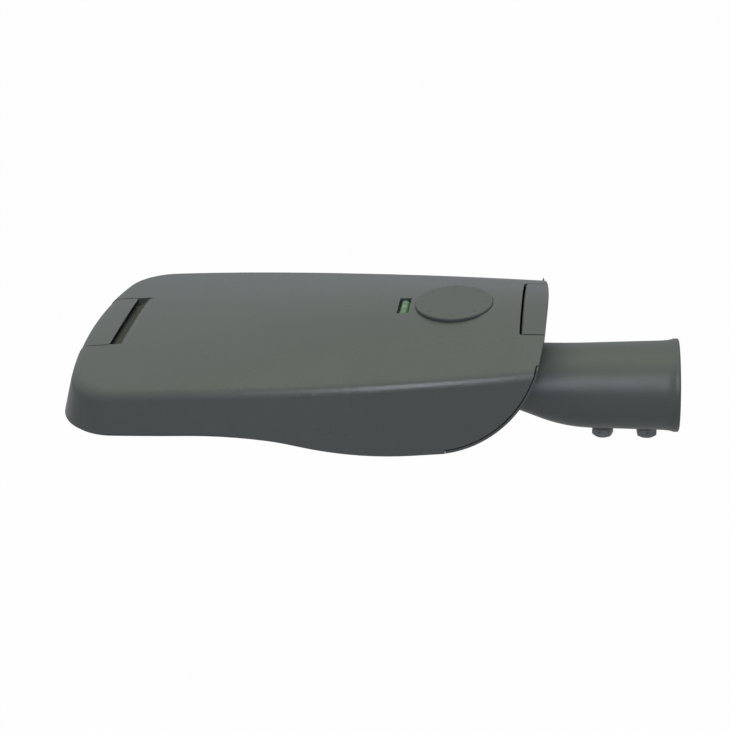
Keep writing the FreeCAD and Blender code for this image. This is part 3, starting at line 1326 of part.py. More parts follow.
def spigot():
    """Tube for the pole end with a beaded mouth, and a hollow neck that covers the joint with a lip."""
    bosses = []
    top_z = (BOLT_BOSS_Z - BORE_RADIUS) / 2 + 2
    for x in BOLT_STATIONS:
        boss = rod(V(x, 0, BOLT_BOSS_Z), AXIS_Z, top_z - BOLT_BOSS_Z, BOLT_BOSS_RADIUS)
        bosses.append(boss.makeFillet(1.2, [e for e in boss.Edges if e.BoundBox.ZMax < BOLT_BOSS_Z + 0.01]))
    body = fuse([NECK_FORM, bead()] + bosses)
    cuts = spigot_inside() + [
        cross_rod(REAR_ARC_X, REAR_ARC_Z, FAR, REAR_ARC_RADIUS + SHADOW_GAP),
        neck_form(JOINT_LIP).cut(beyond_joint(JOINT_DISTANCE + JOINT_GASKET)),
    ]
    for x in BOLT_STATIONS:
        cuts.append(rod(V(x, 0, BOLT_BOSS_Z - 1), AXIS_Z, -BOLT_BOSS_Z, BOLT_RADIUS + SCREW_PLAY))
    for y, along in joint_screw_places():
        cuts.append(rod(joint_point(JOINT_DISTANCE, along, y), JOINT_AXIS, 14, JOINT_SCREW_RADIUS + SCREW_PLAY))
    return body.cut(cuts)


def spigot_gasket():
    """Flat seal in the joint between spigot and housing."""
    slab = SOCKET_FORM.common(beyond_joint(JOINT_DISTANCE)).cut(beyond_joint(JOINT_DISTANCE + JOINT_GASKET))
    cuts = [rod(joint_point(JOINT_DISTANCE - 1, GLAND_ALONG, 0), JOINT_AXIS, 5, 14.5)]
    for y, along in joint_screw_places():
        cuts.append(rod(joint_point(JOINT_DISTANCE - 1, along, y), JOINT_AXIS, 5, JOINT_SCREW_RADIUS + 0.3))
    return slab.cut(cuts)


def spigot_screws():
    """Four screws from inside the housing into the spigot's root."""
    screws = []
    for y, along in joint_screw_places():
        seat = joint_point(PLATFORM_DISTANCE, along, y)
        screws.append(pan_screw(seat, JOINT_AXIS, JOINT_SCREW_RADIUS, JOINT_DISTANCE - PLATFORM_DISTANCE + 11))
    return Part.makeCompound(screws)


def clamp_bolts():
    """Hexagon bolts from below that clamp the pole, tips level with the bore."""
    bolts = []
    head_top = BOLT_BOSS_Z - SPRING_WASHER
    for x, turn in zip(BOLT_STATIONS, BOLT_TURNS):
        head = hexagon(BOLT_FLATS, BOLT_HEAD, V(0, 0, 0), AXIS_Z)
        head.rotate(V(0, 0, 0), AXIS_Z, turn)
        head.translate(V(x, 0, head_top - BOLT_HEAD))
        length = -BORE_RADIUS - head_top - 0.3
        shank = rod(V(x, 0, head_top - 0.5), AXIS_Z, length + 0.5, BOLT_RADIUS)
        bolts.append(head.fuse(shank))
    return Part.makeCompound(bolts)


def spring_washers():
    """Split lock washers between bolt heads and bosses."""
    rings = []
    for x in BOLT_STATIONS:
        base = V(x, 0, BOLT_BOSS_Z - SPRING_WASHER)
        ring = rod(base, AXIS_Z, SPRING_WASHER, SPRING_WASHER_RADIUS)
        ring = ring.cut(rod(base - AXIS_Z, AXIS_Z, SPRING_WASHER + 2, BOLT_RADIUS + SCREW_PLAY))
        slit = box(-0.5, 0.5, 0, 12, -2, SPRING_WASHER + 2)
        slit.rotate(V(0, 0, 0), AXIS_X, 15)
        slit.translate(base)
        rings.append(ring.cut(slit))
    return Part.makeCompound(rings)


# Blanking cap and spirit level

def socket_cap():
    """Round cap with eight small dimples, on a threaded neck through the cover."""
    base = CAP_TOP_Z - CAP_THICKNESS
    disc = rod(V(CAP_X, 0, base), AXIS_Z, CAP_THICKNESS, CAP_RADIUS)
    disc = disc.makeFillet(CAP_EDGE, [e for e in disc.Edges if e.BoundBox.ZMin > base + 1 and e.Length > CAP_RADIUS])
    neck = rod(V(CAP_X, 0, base - CAP_NECK_LENGTH), AXIS_Z, CAP_NECK_LENGTH + 0.5, CAP_NECK_RADIUS)
    cap = disc.fuse(neck)
    cap = cap.cut(rod(V(CAP_X, 0, base - CAP_NECK_LENGTH - 1), AXIS_Z, CAP_NECK_LENGTH + 1, CAP_NECK_RADIUS - 2.5))
    lift = math.sqrt(CAP_DIMPLE_BALL ** 2 - CAP_DIMPLE_RADIUS ** 2)
    dimples = []
    for k in range(CAP_DIMPLES):
        turn = 2 * math.pi * k / CAP_DIMPLES
        x = CAP_X + CAP_DIMPLE_CIRCLE * math.cos(turn)
        y = CAP_DIMPLE_CIRCLE * math.sin(turn)
        dimples.append(Part.makeSphere(CAP_DIMPLE_BALL, V(x, y, CAP_TOP_Z + lift)))
    return cap.cut(dimples)


def cap_seal():
    inner, outer, depth = CAP_GROOVE
    base = V(CAP_X, 0, CAP_TOP_Z - CAP_THICKNESS - depth)
    return rod(base, AXIS_Z, depth, outer).cut(rod(base, AXIS_Z, depth, inner))


def cap_nut():
    """Ring nut that draws the cap down from inside the cover."""
    radius, height = CAP_NUT
    under_skin = crest_z(CAP_X) - COVER_WALL - radius ** 2 / (2 * crown_radius(CAP_X)) - 0.4
    base = V(CAP_X, 0, under_skin - height)
    nut = rod(base, AXIS_Z, height, radius).cut(rod(base, AXIS_Z, height, CAP_NECK_RADIUS + 0.1))
    for k in range(6):
        turn = math.radians(60 * k)
        notch = rod(base + V(radius * math.cos(turn), radius * math.sin(turn), 0), AXIS_Z, height, 2.2)
        nut = nut.cut(notch)
    return nut


VIAL_Z = crest_z(LEVEL_X) - VIAL_DEPTH


def level_vial():
    """Liquid-filled vial across the head, with rounded ends."""
    barrel = VIAL_LENGTH / 2 - VIAL_RADIUS
    tube = cross_rod(LEVEL_X, VIAL_Z, barrel, VIAL_RADIUS)
    ends = [Part.makeSphere(VIAL_RADIUS, V(LEVEL_X, s * barrel, VIAL_Z)) for s in (1, -1)]
    return fuse([tube] + ends)


def level_holder():
    """Cradle under the window that holds the vial."""
    top = crest_z(LEVEL_X) - COVER_WALL - (LEVEL_WINDOW_Y / 2 + 4) ** 2 / (2 * crown_radius(LEVEL_X)) - 0.3
    half_x = LEVEL_WINDOW_X / 2 + 3.5
    half_y = LEVEL_WINDOW_Y / 2 + 4
    block = box(LEVEL_X - half_x, LEVEL_X + half_x, -half_y, half_y, VIAL_Z - VIAL_RADIUS - 2.5, top)
    groove = cross_rod(LEVEL_X, VIAL_Z, VIAL_LENGTH / 2 + 0.3, VIAL_RADIUS + 0.2)
    slot = box(LEVEL_X - VIAL_RADIUS - 0.2, LEVEL_X + VIAL_RADIUS + 0.2,
               -VIAL_LENGTH / 2 - 0.3, VIAL_LENGTH / 2 + 0.3, VIAL_Z, CEILING_Z)
    return block.cut(groove).cut(slot)


NODES = [
    top_cover, cover_gasket, front_latch, latch_pin, latch_spring, keeper_leaf, keeper_screws,
    socket_cap, cap_seal, cap_nut, level_vial, level_holder,
    lower_housing, hinge_pin, pin_clips, led_board, leds, lens_plate, board_screws,
    front_glass, glass_gasket, glass_frame, frame_screws,
    gear_tray, tray_screws, led_driver, driver_screws, surge_protector, terminal_block,
    cable_gland, gland_nut, vent_plug, spigot, spigot_gasket, spigot_screws, clamp_bolts, spring_washers,
]


def main():
    os.makedirs("parts", exist_ok=True)
    for make in NODES:
        shape = make()
        shape.exportStep("parts/" + make.__name__ + ".step")
        print(make.__name__, len(shape.Solids), "solids", round(shape.Volume), "mm3", shape.isValid())


main()
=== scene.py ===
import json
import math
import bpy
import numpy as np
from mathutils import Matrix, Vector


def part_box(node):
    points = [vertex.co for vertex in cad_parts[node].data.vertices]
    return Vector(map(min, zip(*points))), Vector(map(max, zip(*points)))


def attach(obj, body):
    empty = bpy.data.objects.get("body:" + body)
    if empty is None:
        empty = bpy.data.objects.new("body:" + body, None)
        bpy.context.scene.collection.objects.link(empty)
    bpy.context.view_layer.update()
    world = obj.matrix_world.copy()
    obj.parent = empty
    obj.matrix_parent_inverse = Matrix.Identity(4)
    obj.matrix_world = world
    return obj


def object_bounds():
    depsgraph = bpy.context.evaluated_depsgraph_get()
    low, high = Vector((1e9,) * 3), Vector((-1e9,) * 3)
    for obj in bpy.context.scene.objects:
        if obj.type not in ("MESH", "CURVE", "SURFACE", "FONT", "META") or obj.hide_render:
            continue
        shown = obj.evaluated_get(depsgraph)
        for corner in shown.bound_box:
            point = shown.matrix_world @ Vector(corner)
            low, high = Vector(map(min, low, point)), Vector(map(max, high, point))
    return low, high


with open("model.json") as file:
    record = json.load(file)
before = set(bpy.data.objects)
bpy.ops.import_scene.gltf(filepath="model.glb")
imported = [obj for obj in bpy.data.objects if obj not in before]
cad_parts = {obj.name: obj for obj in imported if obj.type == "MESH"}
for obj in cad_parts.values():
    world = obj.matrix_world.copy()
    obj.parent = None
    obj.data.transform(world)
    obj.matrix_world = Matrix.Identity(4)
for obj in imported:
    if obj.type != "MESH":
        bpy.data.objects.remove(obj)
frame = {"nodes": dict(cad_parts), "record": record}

# %% [markdown]
# # An LED street light head, dressed in Blender
# The shapes come from the CAD frame that was just loaded: cast cover, housing, spigot, latch and all that
# they hold. What is left for Blender is how the surfaces look, and a few small pieces that are worked out
# with numpy: the bubble and the two rings of the spirit level, the drops of silicone on the LEDs, and the
# floor of the finger recess. All lengths are in metres, because the frame is.

cad_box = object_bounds()
nodes = frame["nodes"]
bpy.context.scene.view_settings.view_transform = "Standard"
print("pieces in the frame:", len(nodes))

# %% [markdown]
# ## The camera
# A camera is a place and three axes. The photograph looks down on the near long side of the head. Its
# camera stands beside the spigot, looks a little towards the nose, and is turned slightly. So the view
# direction comes from two angles, and a third one rolls the picture.

# %% Camera
AZIMUTH = math.radians(10.03)
ELEVATION = math.radians(27.5)
ROLL = math.radians(4.67)
LENS_MM = 71.68
SENSOR_MM = 36.0
FAR_END = 50.0
CAMERA_PLACE = Vector((-0.0715, -1.0942, 0.5976))

sideways = Vector((math.cos(AZIMUTH), math.sin(AZIMUTH), 0.0))
backwards = Vector((
    math.sin(AZIMUTH) * math.cos(ELEVATION),
    -math.cos(AZIMUTH) * math.cos(ELEVATION),
    math.sin(ELEVATION),
))
upwards = backwards.cross(sideways)
camera_x = math.cos(ROLL) * sideways - math.sin(ROLL) * upwards
camera_y = math.sin(ROLL) * sideways + math.cos(ROLL) * upwards
turn = Matrix((camera_x, camera_y, backwards)).transposed()

camera_data = bpy.data.cameras.new("camera")
camera_data.lens = LENS_MM
camera_data.sensor_width = SENSOR_MM
camera_data.clip_end = FAR_END
camera = bpy.data.objects.new("camera", camera_data)
camera.matrix_world = Matrix.Translation(CAMERA_PLACE) @ turn.to_4x4()
bpy.context.scene.collection.objects.link(camera)
bpy.context.scene.camera = camera
print("camera stands", round(CAMERA_PLACE.length, 3), "m from the spigot's mouth")

# %% [markdown]
# ## Floor and light
# A lamp head hangs in the air on its pole, so the floor is some way below it and its shadow is soft. The
# picture has a white ground. Light Path tells the floor and the sky which rays come from the camera or
# through glass, and those see plain white. Rays from gloss see a share of that white, so that the paint
# keeps its colour. All other rays see a pale grey floor, which keeps the shadow and doesn't flood the
# underside with light.

# %% Rays that see white


def feed(tree, end, socket):
    """Puts a number into a socket, or links another socket to it."""
    if isinstance(end, (int, float)):
        socket.default_value = end
    else:
        tree.links.new(end, socket)


def arithmetic(tree, operation, a, b):
    """One Math node with numbers or sockets on both sides."""
    node = tree.nodes.new("ShaderNodeMath")
    node.operation = operation
    feed(tree, a, node.inputs[0])
    feed(tree, b, node.inputs[1])
    return node.outputs[0]


def seen_rays(tree, gloss_share):
    """1 for rays from the camera and through glass, a share for rays from gloss, 0 for the rest."""
    path = tree.nodes.new("ShaderNodeLightPath").outputs
    direct = arithmetic(tree, "MAXIMUM", path["Is Camera Ray"], path["Is Transmission Ray"])
    gloss = arithmetic(tree, "MULTIPLY", path["Is Glossy Ray"], gloss_share)
    return arithmetic(tree, "MAXIMUM", direct, gloss)


def blend(tree, share, first, second):
    """Mix Shader: the first shader where the share is 0, the second where it is 1."""
    node = tree.nodes.new("ShaderNodeMixShader")
    for k, end in enumerate((share, first, second)):
        tree.links.new(end, node.inputs[k])
    return node.outputs[0]


print("white for the camera, a share of it for gloss")

# %% [markdown]
# The floor is one large square. Its white leaves a small share to the grey paper, and that share carries
# the shadow. Backfacing makes the square clear from below, so a camera down there can look up at the head.

# %% Floor
FLOOR_BELOW = 0.32
FLOOR_REACH = 12.0
FLOOR_GREY = 0.5
FLOOR_WHITE = 0.985
FLOOR_GLOSS = 0.15


def pale_floor():
    """White for the camera, grey with a shadow for the lamps, clear from below."""
    look = bpy.data.materials.new("pale floor")
    look.use_nodes = True
    tree = look.node_tree
    tree.nodes.clear()
    out = tree.nodes.new("ShaderNodeOutputMaterial")
    paper = tree.nodes.new("ShaderNodeBsdfDiffuse")
    paper.inputs["Color"].default_value = (FLOOR_GREY, FLOOR_GREY, FLOOR_GREY, 1)
    white = tree.nodes.new("ShaderNodeEmission")
    white.inputs["Strength"].default_value = 1.0
    share = arithmetic(tree, "MULTIPLY", seen_rays(tree, FLOOR_GLOSS), FLOOR_WHITE)
    from_above = blend(tree, share, paper.outputs[0], white.outputs[0])
    from_behind = tree.nodes.new("ShaderNodeNewGeometry").outputs["Backfacing"]
    nothing = tree.nodes.new("ShaderNodeBsdfTransparent").outputs[0]
    tree.links.new(blend(tree, from_behind, from_above, nothing), out.inputs["Surface"])
    return look


floor_z = cad_box[0][2] - FLOOR_BELOW
corners = FLOOR_REACH * np.array([(-1, -1, 0), (1, -1, 0), (1, 1, 0), (-1, 1, 0)]) + (0, 0, floor_z)
floor_mesh = bpy.data.meshes.new("floor")
floor_mesh.from_pydata(corners.tolist(), [], [(0, 1, 2, 3)])
floor_mesh.materials.append(pale_floor())
floor = bpy.data.objects.new("floor", floor_mesh)
bpy.context.scene.collection.objects.link(floor)
print("floor at", round(floor_z, 3), "m")

# %% [markdown]
# The sky lights the steep sides of the head. It is dim and a little blue, as the sides are in the
# photograph, while the camera sees it plain white.

# %% Sky
SKY_LEVEL = 0.205
SKY_TINT = (0.96, 1.0, 1.55, 1)
SKY_GLOSS = 0.23

sky = bpy.data.worlds.new("sky")
sky.use_nodes = True
tree = sky.node_tree
tree.nodes.clear()
out = tree.nodes.new("ShaderNodeOutputWorld")
dim = tree.nodes.new("ShaderNodeBackground")
dim.inputs["Color"].default_value = SKY_TINT
dim.inputs["Strength"].default_value = SKY_LEVEL
bright = tree.nodes.new("ShaderNodeBackground")
bright.inputs["Color"].default_value = (1, 1, 1, 1)
bright.inputs["Strength"].default_value = 1.0
both = blend(tree, seen_rays(tree, SKY_GLOSS), dim.outputs[0], bright.outputs[0])
tree.links.new(both, out.inputs["Surface"])
bpy.context.scene.world = sky
print("sky level", SKY_LEVEL)

# %% [markdown]
# One large soft box over the head makes the level faces clearly lighter than the steep sides. Gloss
# doesn't see it, or it would wash out the level paint near the camera. A tall, narrow strip stands in
# front of the near side, a little higher than the camera. Satin paint mirrors it only where the surface
# leans half way between camera and strip, so it draws a cool line along the rear half of the rolling
# shoulder and along the tube.

# %% Soft boxes
HEAD_MIDDLE = Vector((-0.28, -0.05, 0.04))
OVERHEAD_PLACE = Vector((-0.35, 0.2, 2.0))
OVERHEAD_SIDE = 1.8
WARM = (1.0, 0.99, 0.77)
COOL = (0.88, 0.89, 1.0)


def around_head(azimuth, elevation, distance):
    """A place seen from the head's middle: azimuth 0 is straight in front of the near side."""
    a, e = math.radians(azimuth), math.radians(elevation)
    way = Vector((math.sin(a) * math.cos(e), -math.cos(a) * math.cos(e), math.sin(e)))
    return HEAD_MIDDLE + distance * way


def soft_box(name, place, width, height, watts, tint):
    """A flat lamp at a place, turned towards the head's middle."""
    data = bpy.data.lights.new(name, "AREA")
    data.shape = "RECTANGLE"
    data.size = width
    data.size_y = height
    data.energy = watts
    data.color = tint
    lamp = bpy.data.objects.new(name, data)
    lamp.location = place
    lamp.rotation_euler = (HEAD_MIDDLE - place).to_track_quat("-Z", "Y").to_euler()
    bpy.context.scene.collection.objects.link(lamp)
    return lamp


overhead = soft_box("overhead box", OVERHEAD_PLACE, OVERHEAD_SIDE, OVERHEAD_SIDE, watts=36.0, tint=WARM)
overhead.visible_glossy = False
strip_place = around_head(azimuth=8.3, elevation=34.6, distance=2.44)
soft_box("front strip", strip_place, width=0.3, height=1.3, watts=13.0, tint=COOL)

# %% [markdown]
# ## Effects that several finishes share
# A node group is built once and placed in each material with its own numbers. These groups only put out
# colours, roughness values and normals. The shader itself stays in the material.

# %% Group with named sockets


def group(name, inputs, outputs):
    """A shader node group with named sockets: inputs are (name, kind, default), outputs (name, kind)."""
    tree = bpy.data.node_groups.new(name, "ShaderNodeTree")
    for label, kind, value in inputs:
        socket = tree.interface.new_socket(label, in_out="INPUT", socket_type=kind)
        socket.default_value = value
    for label, kind in outputs:
        tree.interface.new_socket(label, in_out="OUTPUT", socket_type=kind)
    return tree, tree.nodes.new("NodeGroupInput").outputs, tree.nodes.new("NodeGroupOutput").inputs


SKIN_OUTPUTS = [
    ("Colour", "NodeSocketColor"),
    ("Roughness", "NodeSocketFloat"),
    ("Normal", "NodeSocketVector"),
]
print("each skin puts out:", [label for label, kind in SKIN_OUTPUTS])

# %% [markdown]
# Both skins are made of the same few steps: a noise, its swing to both sides of zero, a colour that it
# makes lighter or darker, and a bump that tilts the light. A noise seldom leaves the middle of its range,
# so the swing takes that middle as its whole way.

# %% Steps of a skin
NOISE_LOW = 0.3
NOISE_HIGH = 0.7


def noise(tree, place, scale, detail, rough=0.5):
    """A noise texture whose scale, in waves per metre, comes from a socket."""
    node = tree.nodes.new("ShaderNodeTexNoise")
    node.inputs["Detail"].default_value = detail
    node.inputs["Roughness"].default_value = rough
    tree.links.new(place, node.inputs["Vector"])
    tree.links.new(scale, node.inputs["Scale"])
    return node.outputs["Fac"]


def swing(tree, value, depth):
    """Maps the range where most of a noise lies onto minus depth to plus depth."""
    node = tree.nodes.new("ShaderNodeMapRange")
    node.inputs["From Min"].default_value = NOISE_LOW
    node.inputs["From Max"].default_value = NOISE_HIGH
    tree.links.new(value, node.inputs["Value"])
    tree.links.new(arithmetic(tree, "MULTIPLY", depth, -1.0), node.inputs["To Min"])
    feed(tree, depth, node.inputs["To Max"])
    return node.outputs["Result"]


def shade(tree, colour, factor):
    """A colour made lighter or darker by a factor that changes over the surface."""
    node = tree.nodes.new("ShaderNodeVectorMath")
    node.operation = "SCALE"
    tree.links.new(colour, node.inputs[0])
    tree.links.new(factor, node.inputs["Scale"])
    return node.outputs[0]


def bump(tree, height, distance):
    """A bump node whose real height, in metres, comes from a socket."""
    node = tree.nodes.new("ShaderNodeBump")
    node.inputs["Strength"].default_value = 1.0
    tree.links.new(height, node.inputs["Height"])
    tree.links.new(distance, node.inputs["Distance"])
    return node.outputs["Normal"]


print("a noise swings from", NOISE_LOW, "to", NOISE_HIGH)

# %% [markdown]
# ### Grainy skin
# Powder coat, moulded plastic and rubber all have a fine grain, a broad and very faint change of colour,
# and a roughness that wanders a little. One group makes all three, and the numbers tell them apart. Under
# the grain lie longer, lower waves, as paint has where it ran together.

# %% Grainy skin group
WAVE_SHARE = 0.22
WAVE_HEIGHT = 0.8

grain, given, made = group(
    "grainy skin",
    [
        ("Colour", "NodeSocketColor", (0.1, 0.1, 0.1, 1)),
        ("Cloud size", "NodeSocketFloat", 30.0),
        ("Cloud depth", "NodeSocketFloat", 0.03),
        ("Grain size", "NodeSocketFloat", 1200.0),
        ("Grain height", "NodeSocketFloat", 0.00003),
        ("Grain tint", "NodeSocketFloat", 0.04),
        ("Roughness", "NodeSocketFloat", 0.5),
        ("Roughness change", "NodeSocketFloat", 0.05),
    ],
    SKIN_OUTPUTS,
)
where = grain.nodes.new("ShaderNodeTexCoord").outputs["Object"]
clouds = noise(grain, where, given["Cloud size"], detail=4.0)
grains = noise(grain, where, given["Grain size"], detail=2.0, rough=0.6)
wave_size = arithmetic(grain, "MULTIPLY", given["Grain size"], WAVE_SHARE)
waves = noise(grain, where, wave_size, detail=1.0)
cloud_light = swing(grain, clouds, given["Cloud depth"])
grain_light = swing(grain, grains, given["Grain tint"])
light = arithmetic(grain, "ADD", arithmetic(grain, "ADD", cloud_light, grain_light), 1.0)
grain.links.new(shade(grain, given["Colour"], light), made["Colour"])
change = swing(grain, clouds, given["Roughness change"])
grain.links.new(arithmetic(grain, "ADD", given["Roughness"], change), made["Roughness"])
height = arithmetic(grain, "ADD", grains, arithmetic(grain, "MULTIPLY", waves, WAVE_HEIGHT))
grain.links.new(bump(grain, height, given["Grain height"]), made["Normal"])
print("group made:", grain.name)

# %% [markdown]
# ### Drawn metal
# Wire, sheet and turned pins carry fine lines along the way they were drawn. A noise that is squeezed
# along one axis makes them. Zinc shows as patches, so a slow noise also changes the colour.

# %% Drawn metal group
LINE_WANDER = 0.06
PATCH_WANDER = 0.05

drawn, given, made = group(
    "drawn metal",
    [
        ("Colour", "NodeSocketColor", (0.5, 0.5, 0.5, 1)),
        ("Stretch", "NodeSocketVector", (1.0, 1.0, 1.0)),
        ("Line size", "NodeSocketFloat", 900.0),
        ("Line height", "NodeSocketFloat", 0.00001),
        ("Patch size", "NodeSocketFloat", 150.0),
        ("Patch depth", "NodeSocketFloat", 0.08),
        ("Roughness", "NodeSocketFloat", 0.35),
    ],
    SKIN_OUTPUTS,
)
where = drawn.nodes.new("ShaderNodeTexCoord").outputs["Object"]
squeeze = drawn.nodes.new("ShaderNodeVectorMath")
squeeze.operation = "MULTIPLY"
drawn.links.new(where, squeeze.inputs[0])
drawn.links.new(given["Stretch"], squeeze.inputs[1])
lines = noise(drawn, squeeze.outputs[0], given["Line size"], detail=3.0)
patches = noise(drawn, where, given["Patch size"], detail=3.0)
light = arithmetic(drawn, "ADD", swing(drawn, patches, given["Patch depth"]), 1.0)
drawn.links.new(shade(drawn, given["Colour"], light), made["Colour"])
wander = arithmetic(drawn, "ADD", swing(drawn, lines, LINE_WANDER), swing(drawn, patches, PATCH_WANDER))
drawn.links.new(arithmetic(drawn, "ADD", given["Roughness"], wander), made["Roughness"])
drawn.links.new(bump(drawn, lines, given["Line height"]), made["Normal"])
print("group made:", drawn.name)

# %% [markdown]
# ### A finish from a skin
# A finish is one material: a skin group with its numbers, linked to a Principled shader. What doesn't
# change over the surface, such as Metallic, goes straight onto the shader.

# %% Finish


def finish(name, skin, values, **shader):
    """A material with one Principled shader, fed by a group. Plain numbers go straight onto its sockets."""
    look = bpy.data.materials.new(name)
    look.use_nodes = True
    tree = look.node_tree
    principled = tree.nodes["Principled BSDF"]
    node = tree.nodes.new("ShaderNodeGroup")
    node.node_tree = skin
    for label, value in values.items():
        node.inputs[label].default_value = value
    tree.links.new(node.outputs["Colour"], principled.inputs["Base Color"])
    tree.links.new(node.outputs["Roughness"], principled.inputs["Roughness"])
    tree.links.new(node.outputs["Normal"], principled.inputs["Normal"])
    for label, value in shader.items():
        principled.inputs[label.replace("_", " ")].default_value = value
    return look


looks = {}
print("skins to choose from:", grain.name, "and", drawn.name)

# %% [markdown]
# ## Paint on the castings
# The castings wear a grey-green powder coat with a satin, slightly grainy skin. They come from separate
# batches, so their greys differ by a hair. The frame round the glass has a duller coat.

# %% Powder coat


def powder_coat(name, colour, rough):
    """Baked powder: a fine, low grain on a satin skin, with hardly any clouds in its colour."""
    return finish(name, grain, {
        "Colour": (*colour, 1), "Cloud size": 14.0, "Cloud depth": 0.02, "Grain size": 1500.0,
        "Grain height": 0.00006, "Grain tint": 0.04, "Roughness": rough, "Roughness change": 0.04,
    })


looks["cover_paint"] = powder_coat("cover powder coat", (0.102, 0.115, 0.099), rough=0.27)
looks["latch_paint"] = powder_coat("latch powder coat", (0.106, 0.118, 0.103), rough=0.27)
looks["housing_paint"] = powder_coat("housing powder coat", (0.100, 0.112, 0.098), rough=0.30)
looks["spigot_paint"] = powder_coat("spigot powder coat", (0.099, 0.111, 0.097), rough=0.38)
looks["frame_paint"] = powder_coat("frame powder coat", (0.095, 0.105, 0.092), rough=0.5)
print("paints:", len(looks))

# %% [markdown]
# ## Metal parts
# Pins, clips and small screws are plain stainless steel. Bolts and washers have a dull zinc coat, and the
# gear tray is galvanised sheet with large, faint crystals.

# %% Metals


def metal(name, colour, stretch, rough, line_size, line_height, patch_size, patch_depth):
    """Bare or zinc-coated metal. The lines run along the axis whose stretch is small."""
    return finish(name, drawn, {
        "Colour": (*colour, 1), "Stretch": stretch, "Line size": line_size, "Line height": line_height,
        "Patch size": patch_size, "Patch depth": patch_depth, "Roughness": rough,
    }, Metallic=1.0)


ALONG_PIN = (1, 0.12, 1)
DOWN_BOLT = (1, 1, 0.3)
ALONG_TRAY = (0.15, 1, 1)
looks["stainless"] = metal(
    "stainless steel", (0.56, 0.555, 0.54), ALONG_PIN, rough=0.28,
    line_size=2500.0, line_height=0.00001, patch_size=200.0, patch_depth=0.04)
looks["zinc_bolt"] = metal(
    "zinc coat on bolts", (0.20, 0.215, 0.215), DOWN_BOLT, rough=0.42,
    line_size=1600.0, line_height=0.00003, patch_size=420.0, patch_depth=0.2)
looks["zinc_washer"] = metal(
    "zinc coat on washers", (0.20, 0.21, 0.21), DOWN_BOLT, rough=0.45,
    line_size=1600.0, line_height=0.00002, patch_size=500.0, patch_depth=0.16)
looks["zinc_sheet"] = metal(
    "galvanised sheet", (0.60, 0.61, 0.62), ALONG_TRAY, rough=0.4,
    line_size=700.0, line_height=0.00001, patch_size=90.0, patch_depth=0.18)
print("paints and metals:", len(looks))

# %% [markdown]
# ## Plastics and rubber
# Moulded parts take the stipple of their mould. Rubber is duller still. Both use the grainy skin again.

# %% Plastics and rubber
SMOOTH_MOULD = 0.00001
FINE_MOULD = 0.00002
COARSE_MOULD = 0.00004


def moulded(name, colour, rough, height):
    """Plastic or rubber with the stipple of its mould, which is as deep as the height in metres."""
    return finish(name, grain, {
        "Colour": (*colour, 1), "Cloud size": 40.0, "Cloud depth": 0.03, "Grain size": 2200.0,
        "Grain height": height, "Grain tint": 0.03, "Roughness": rough, "Roughness change": 0.05,
    })


looks["cap_plastic"] = moulded("grey cap plastic", (0.104, 0.114, 0.100), rough=0.5, height=COARSE_MOULD)
looks["black_plastic"] = moulded("black nylon", (0.030, 0.031, 0.031), rough=0.5, height=FINE_MOULD)
looks["driver_white"] = moulded("light grey driver case", (0.66, 0.67, 0.68), rough=0.42, height=FINE_MOULD)
looks["surge_grey"] = moulded("grey surge protector", (0.22, 0.23, 0.25), rough=0.45, height=FINE_MOULD)
looks["terminal_white"] = moulded("white terminal", (0.74, 0.74, 0.70), rough=0.4, height=FINE_MOULD)
looks["silicone"] = moulded("grey silicone", (0.28, 0.29, 0.29), rough=0.7, height=SMOOTH_MOULD)
looks["board_white"] = moulded("white solder mask", (0.80, 0.81, 0.80), rough=0.35, height=SMOOTH_MOULD)
looks["led_yellow"] = moulded("white LED ceramic", (0.78, 0.77, 0.72), rough=0.4, height=SMOOTH_MOULD)
drop_look = moulded("yellow silicone drops", (0.80, 0.58, 0.08), rough=0.35, height=SMOOTH_MOULD)
print("with plastics and rubber:", len(looks))

# %% [markdown]
# ## Clear parts
# Glass and acrylic let light through: Transmission Weight is 1 and the roughness is small. A faint noise
# in the roughness stands for wiped dust.

# %% Glass and lens plate


def clear(name, colour, rough, ior):
    """Glass or acrylic: light goes through, bent by its index, and only dust changes the roughness."""
    return finish(name, grain, {
        "Colour": (*colour, 1), "Cloud size": 25.0, "Cloud depth": 0.01, "Grain size": 900.0,
        "Grain height": 0.000001, "Grain tint": 0.0, "Roughness": rough, "Roughness change": 0.01,
    }, Transmission_Weight=1.0, IOR=ior)


looks["toughened_glass"] = clear("toughened glass", (0.93, 0.98, 0.96), rough=0.03, ior=1.5)
looks["lens_clear"] = clear("clear acrylic lenses", (0.97, 0.98, 0.98), rough=0.05, ior=1.49)
print("with clear parts:", len(looks))

# %% [markdown]
# ## Spirit level
# The vial is a small acrylic tube full of green liquid. It is only eight millimetres thick and sits in a
# dark window, so what reaches the eye is a milky green under a glossy skin. An opaque green with a Coat
# gives that with far less noise than real glass would.

# %% Vial


def under_acrylic(name, colour, cloud_size, cloud_depth, rough):
    """A milky colour with slow clouds in it, under a clear glossy coat."""
    return finish(name, grain, {
        "Colour": (*colour, 1), "Cloud size": cloud_size, "Cloud depth": cloud_depth, "Grain size": 900.0,
        "Grain height": 0.000001, "Grain tint": 0.02, "Roughness": rough, "Roughness change": 0.03,
    }, Coat_Weight=1.0, Coat_Roughness=0.05)


looks["level_liquid"] = under_acrylic(
    "green level vial", (0.098, 0.205, 0.088), cloud_size=160.0, cloud_depth=0.18, rough=0.3)
# The bubble's paler green is partly a painted highlight on the vial.
bubble_and_highlight_look = under_acrylic(
    "bubble and painted highlight in the level", (0.165, 0.29, 0.155), cloud_size=300.0, cloud_depth=0.08, rough=0.25)
print("all finishes of the frame:", len(looks))

# %% [markdown]
# ## Each CAD piece gets its finish
# The record names a material slot for every node. The look of that slot goes onto the node's own material
# slots, and the mesh itself stays as it is.

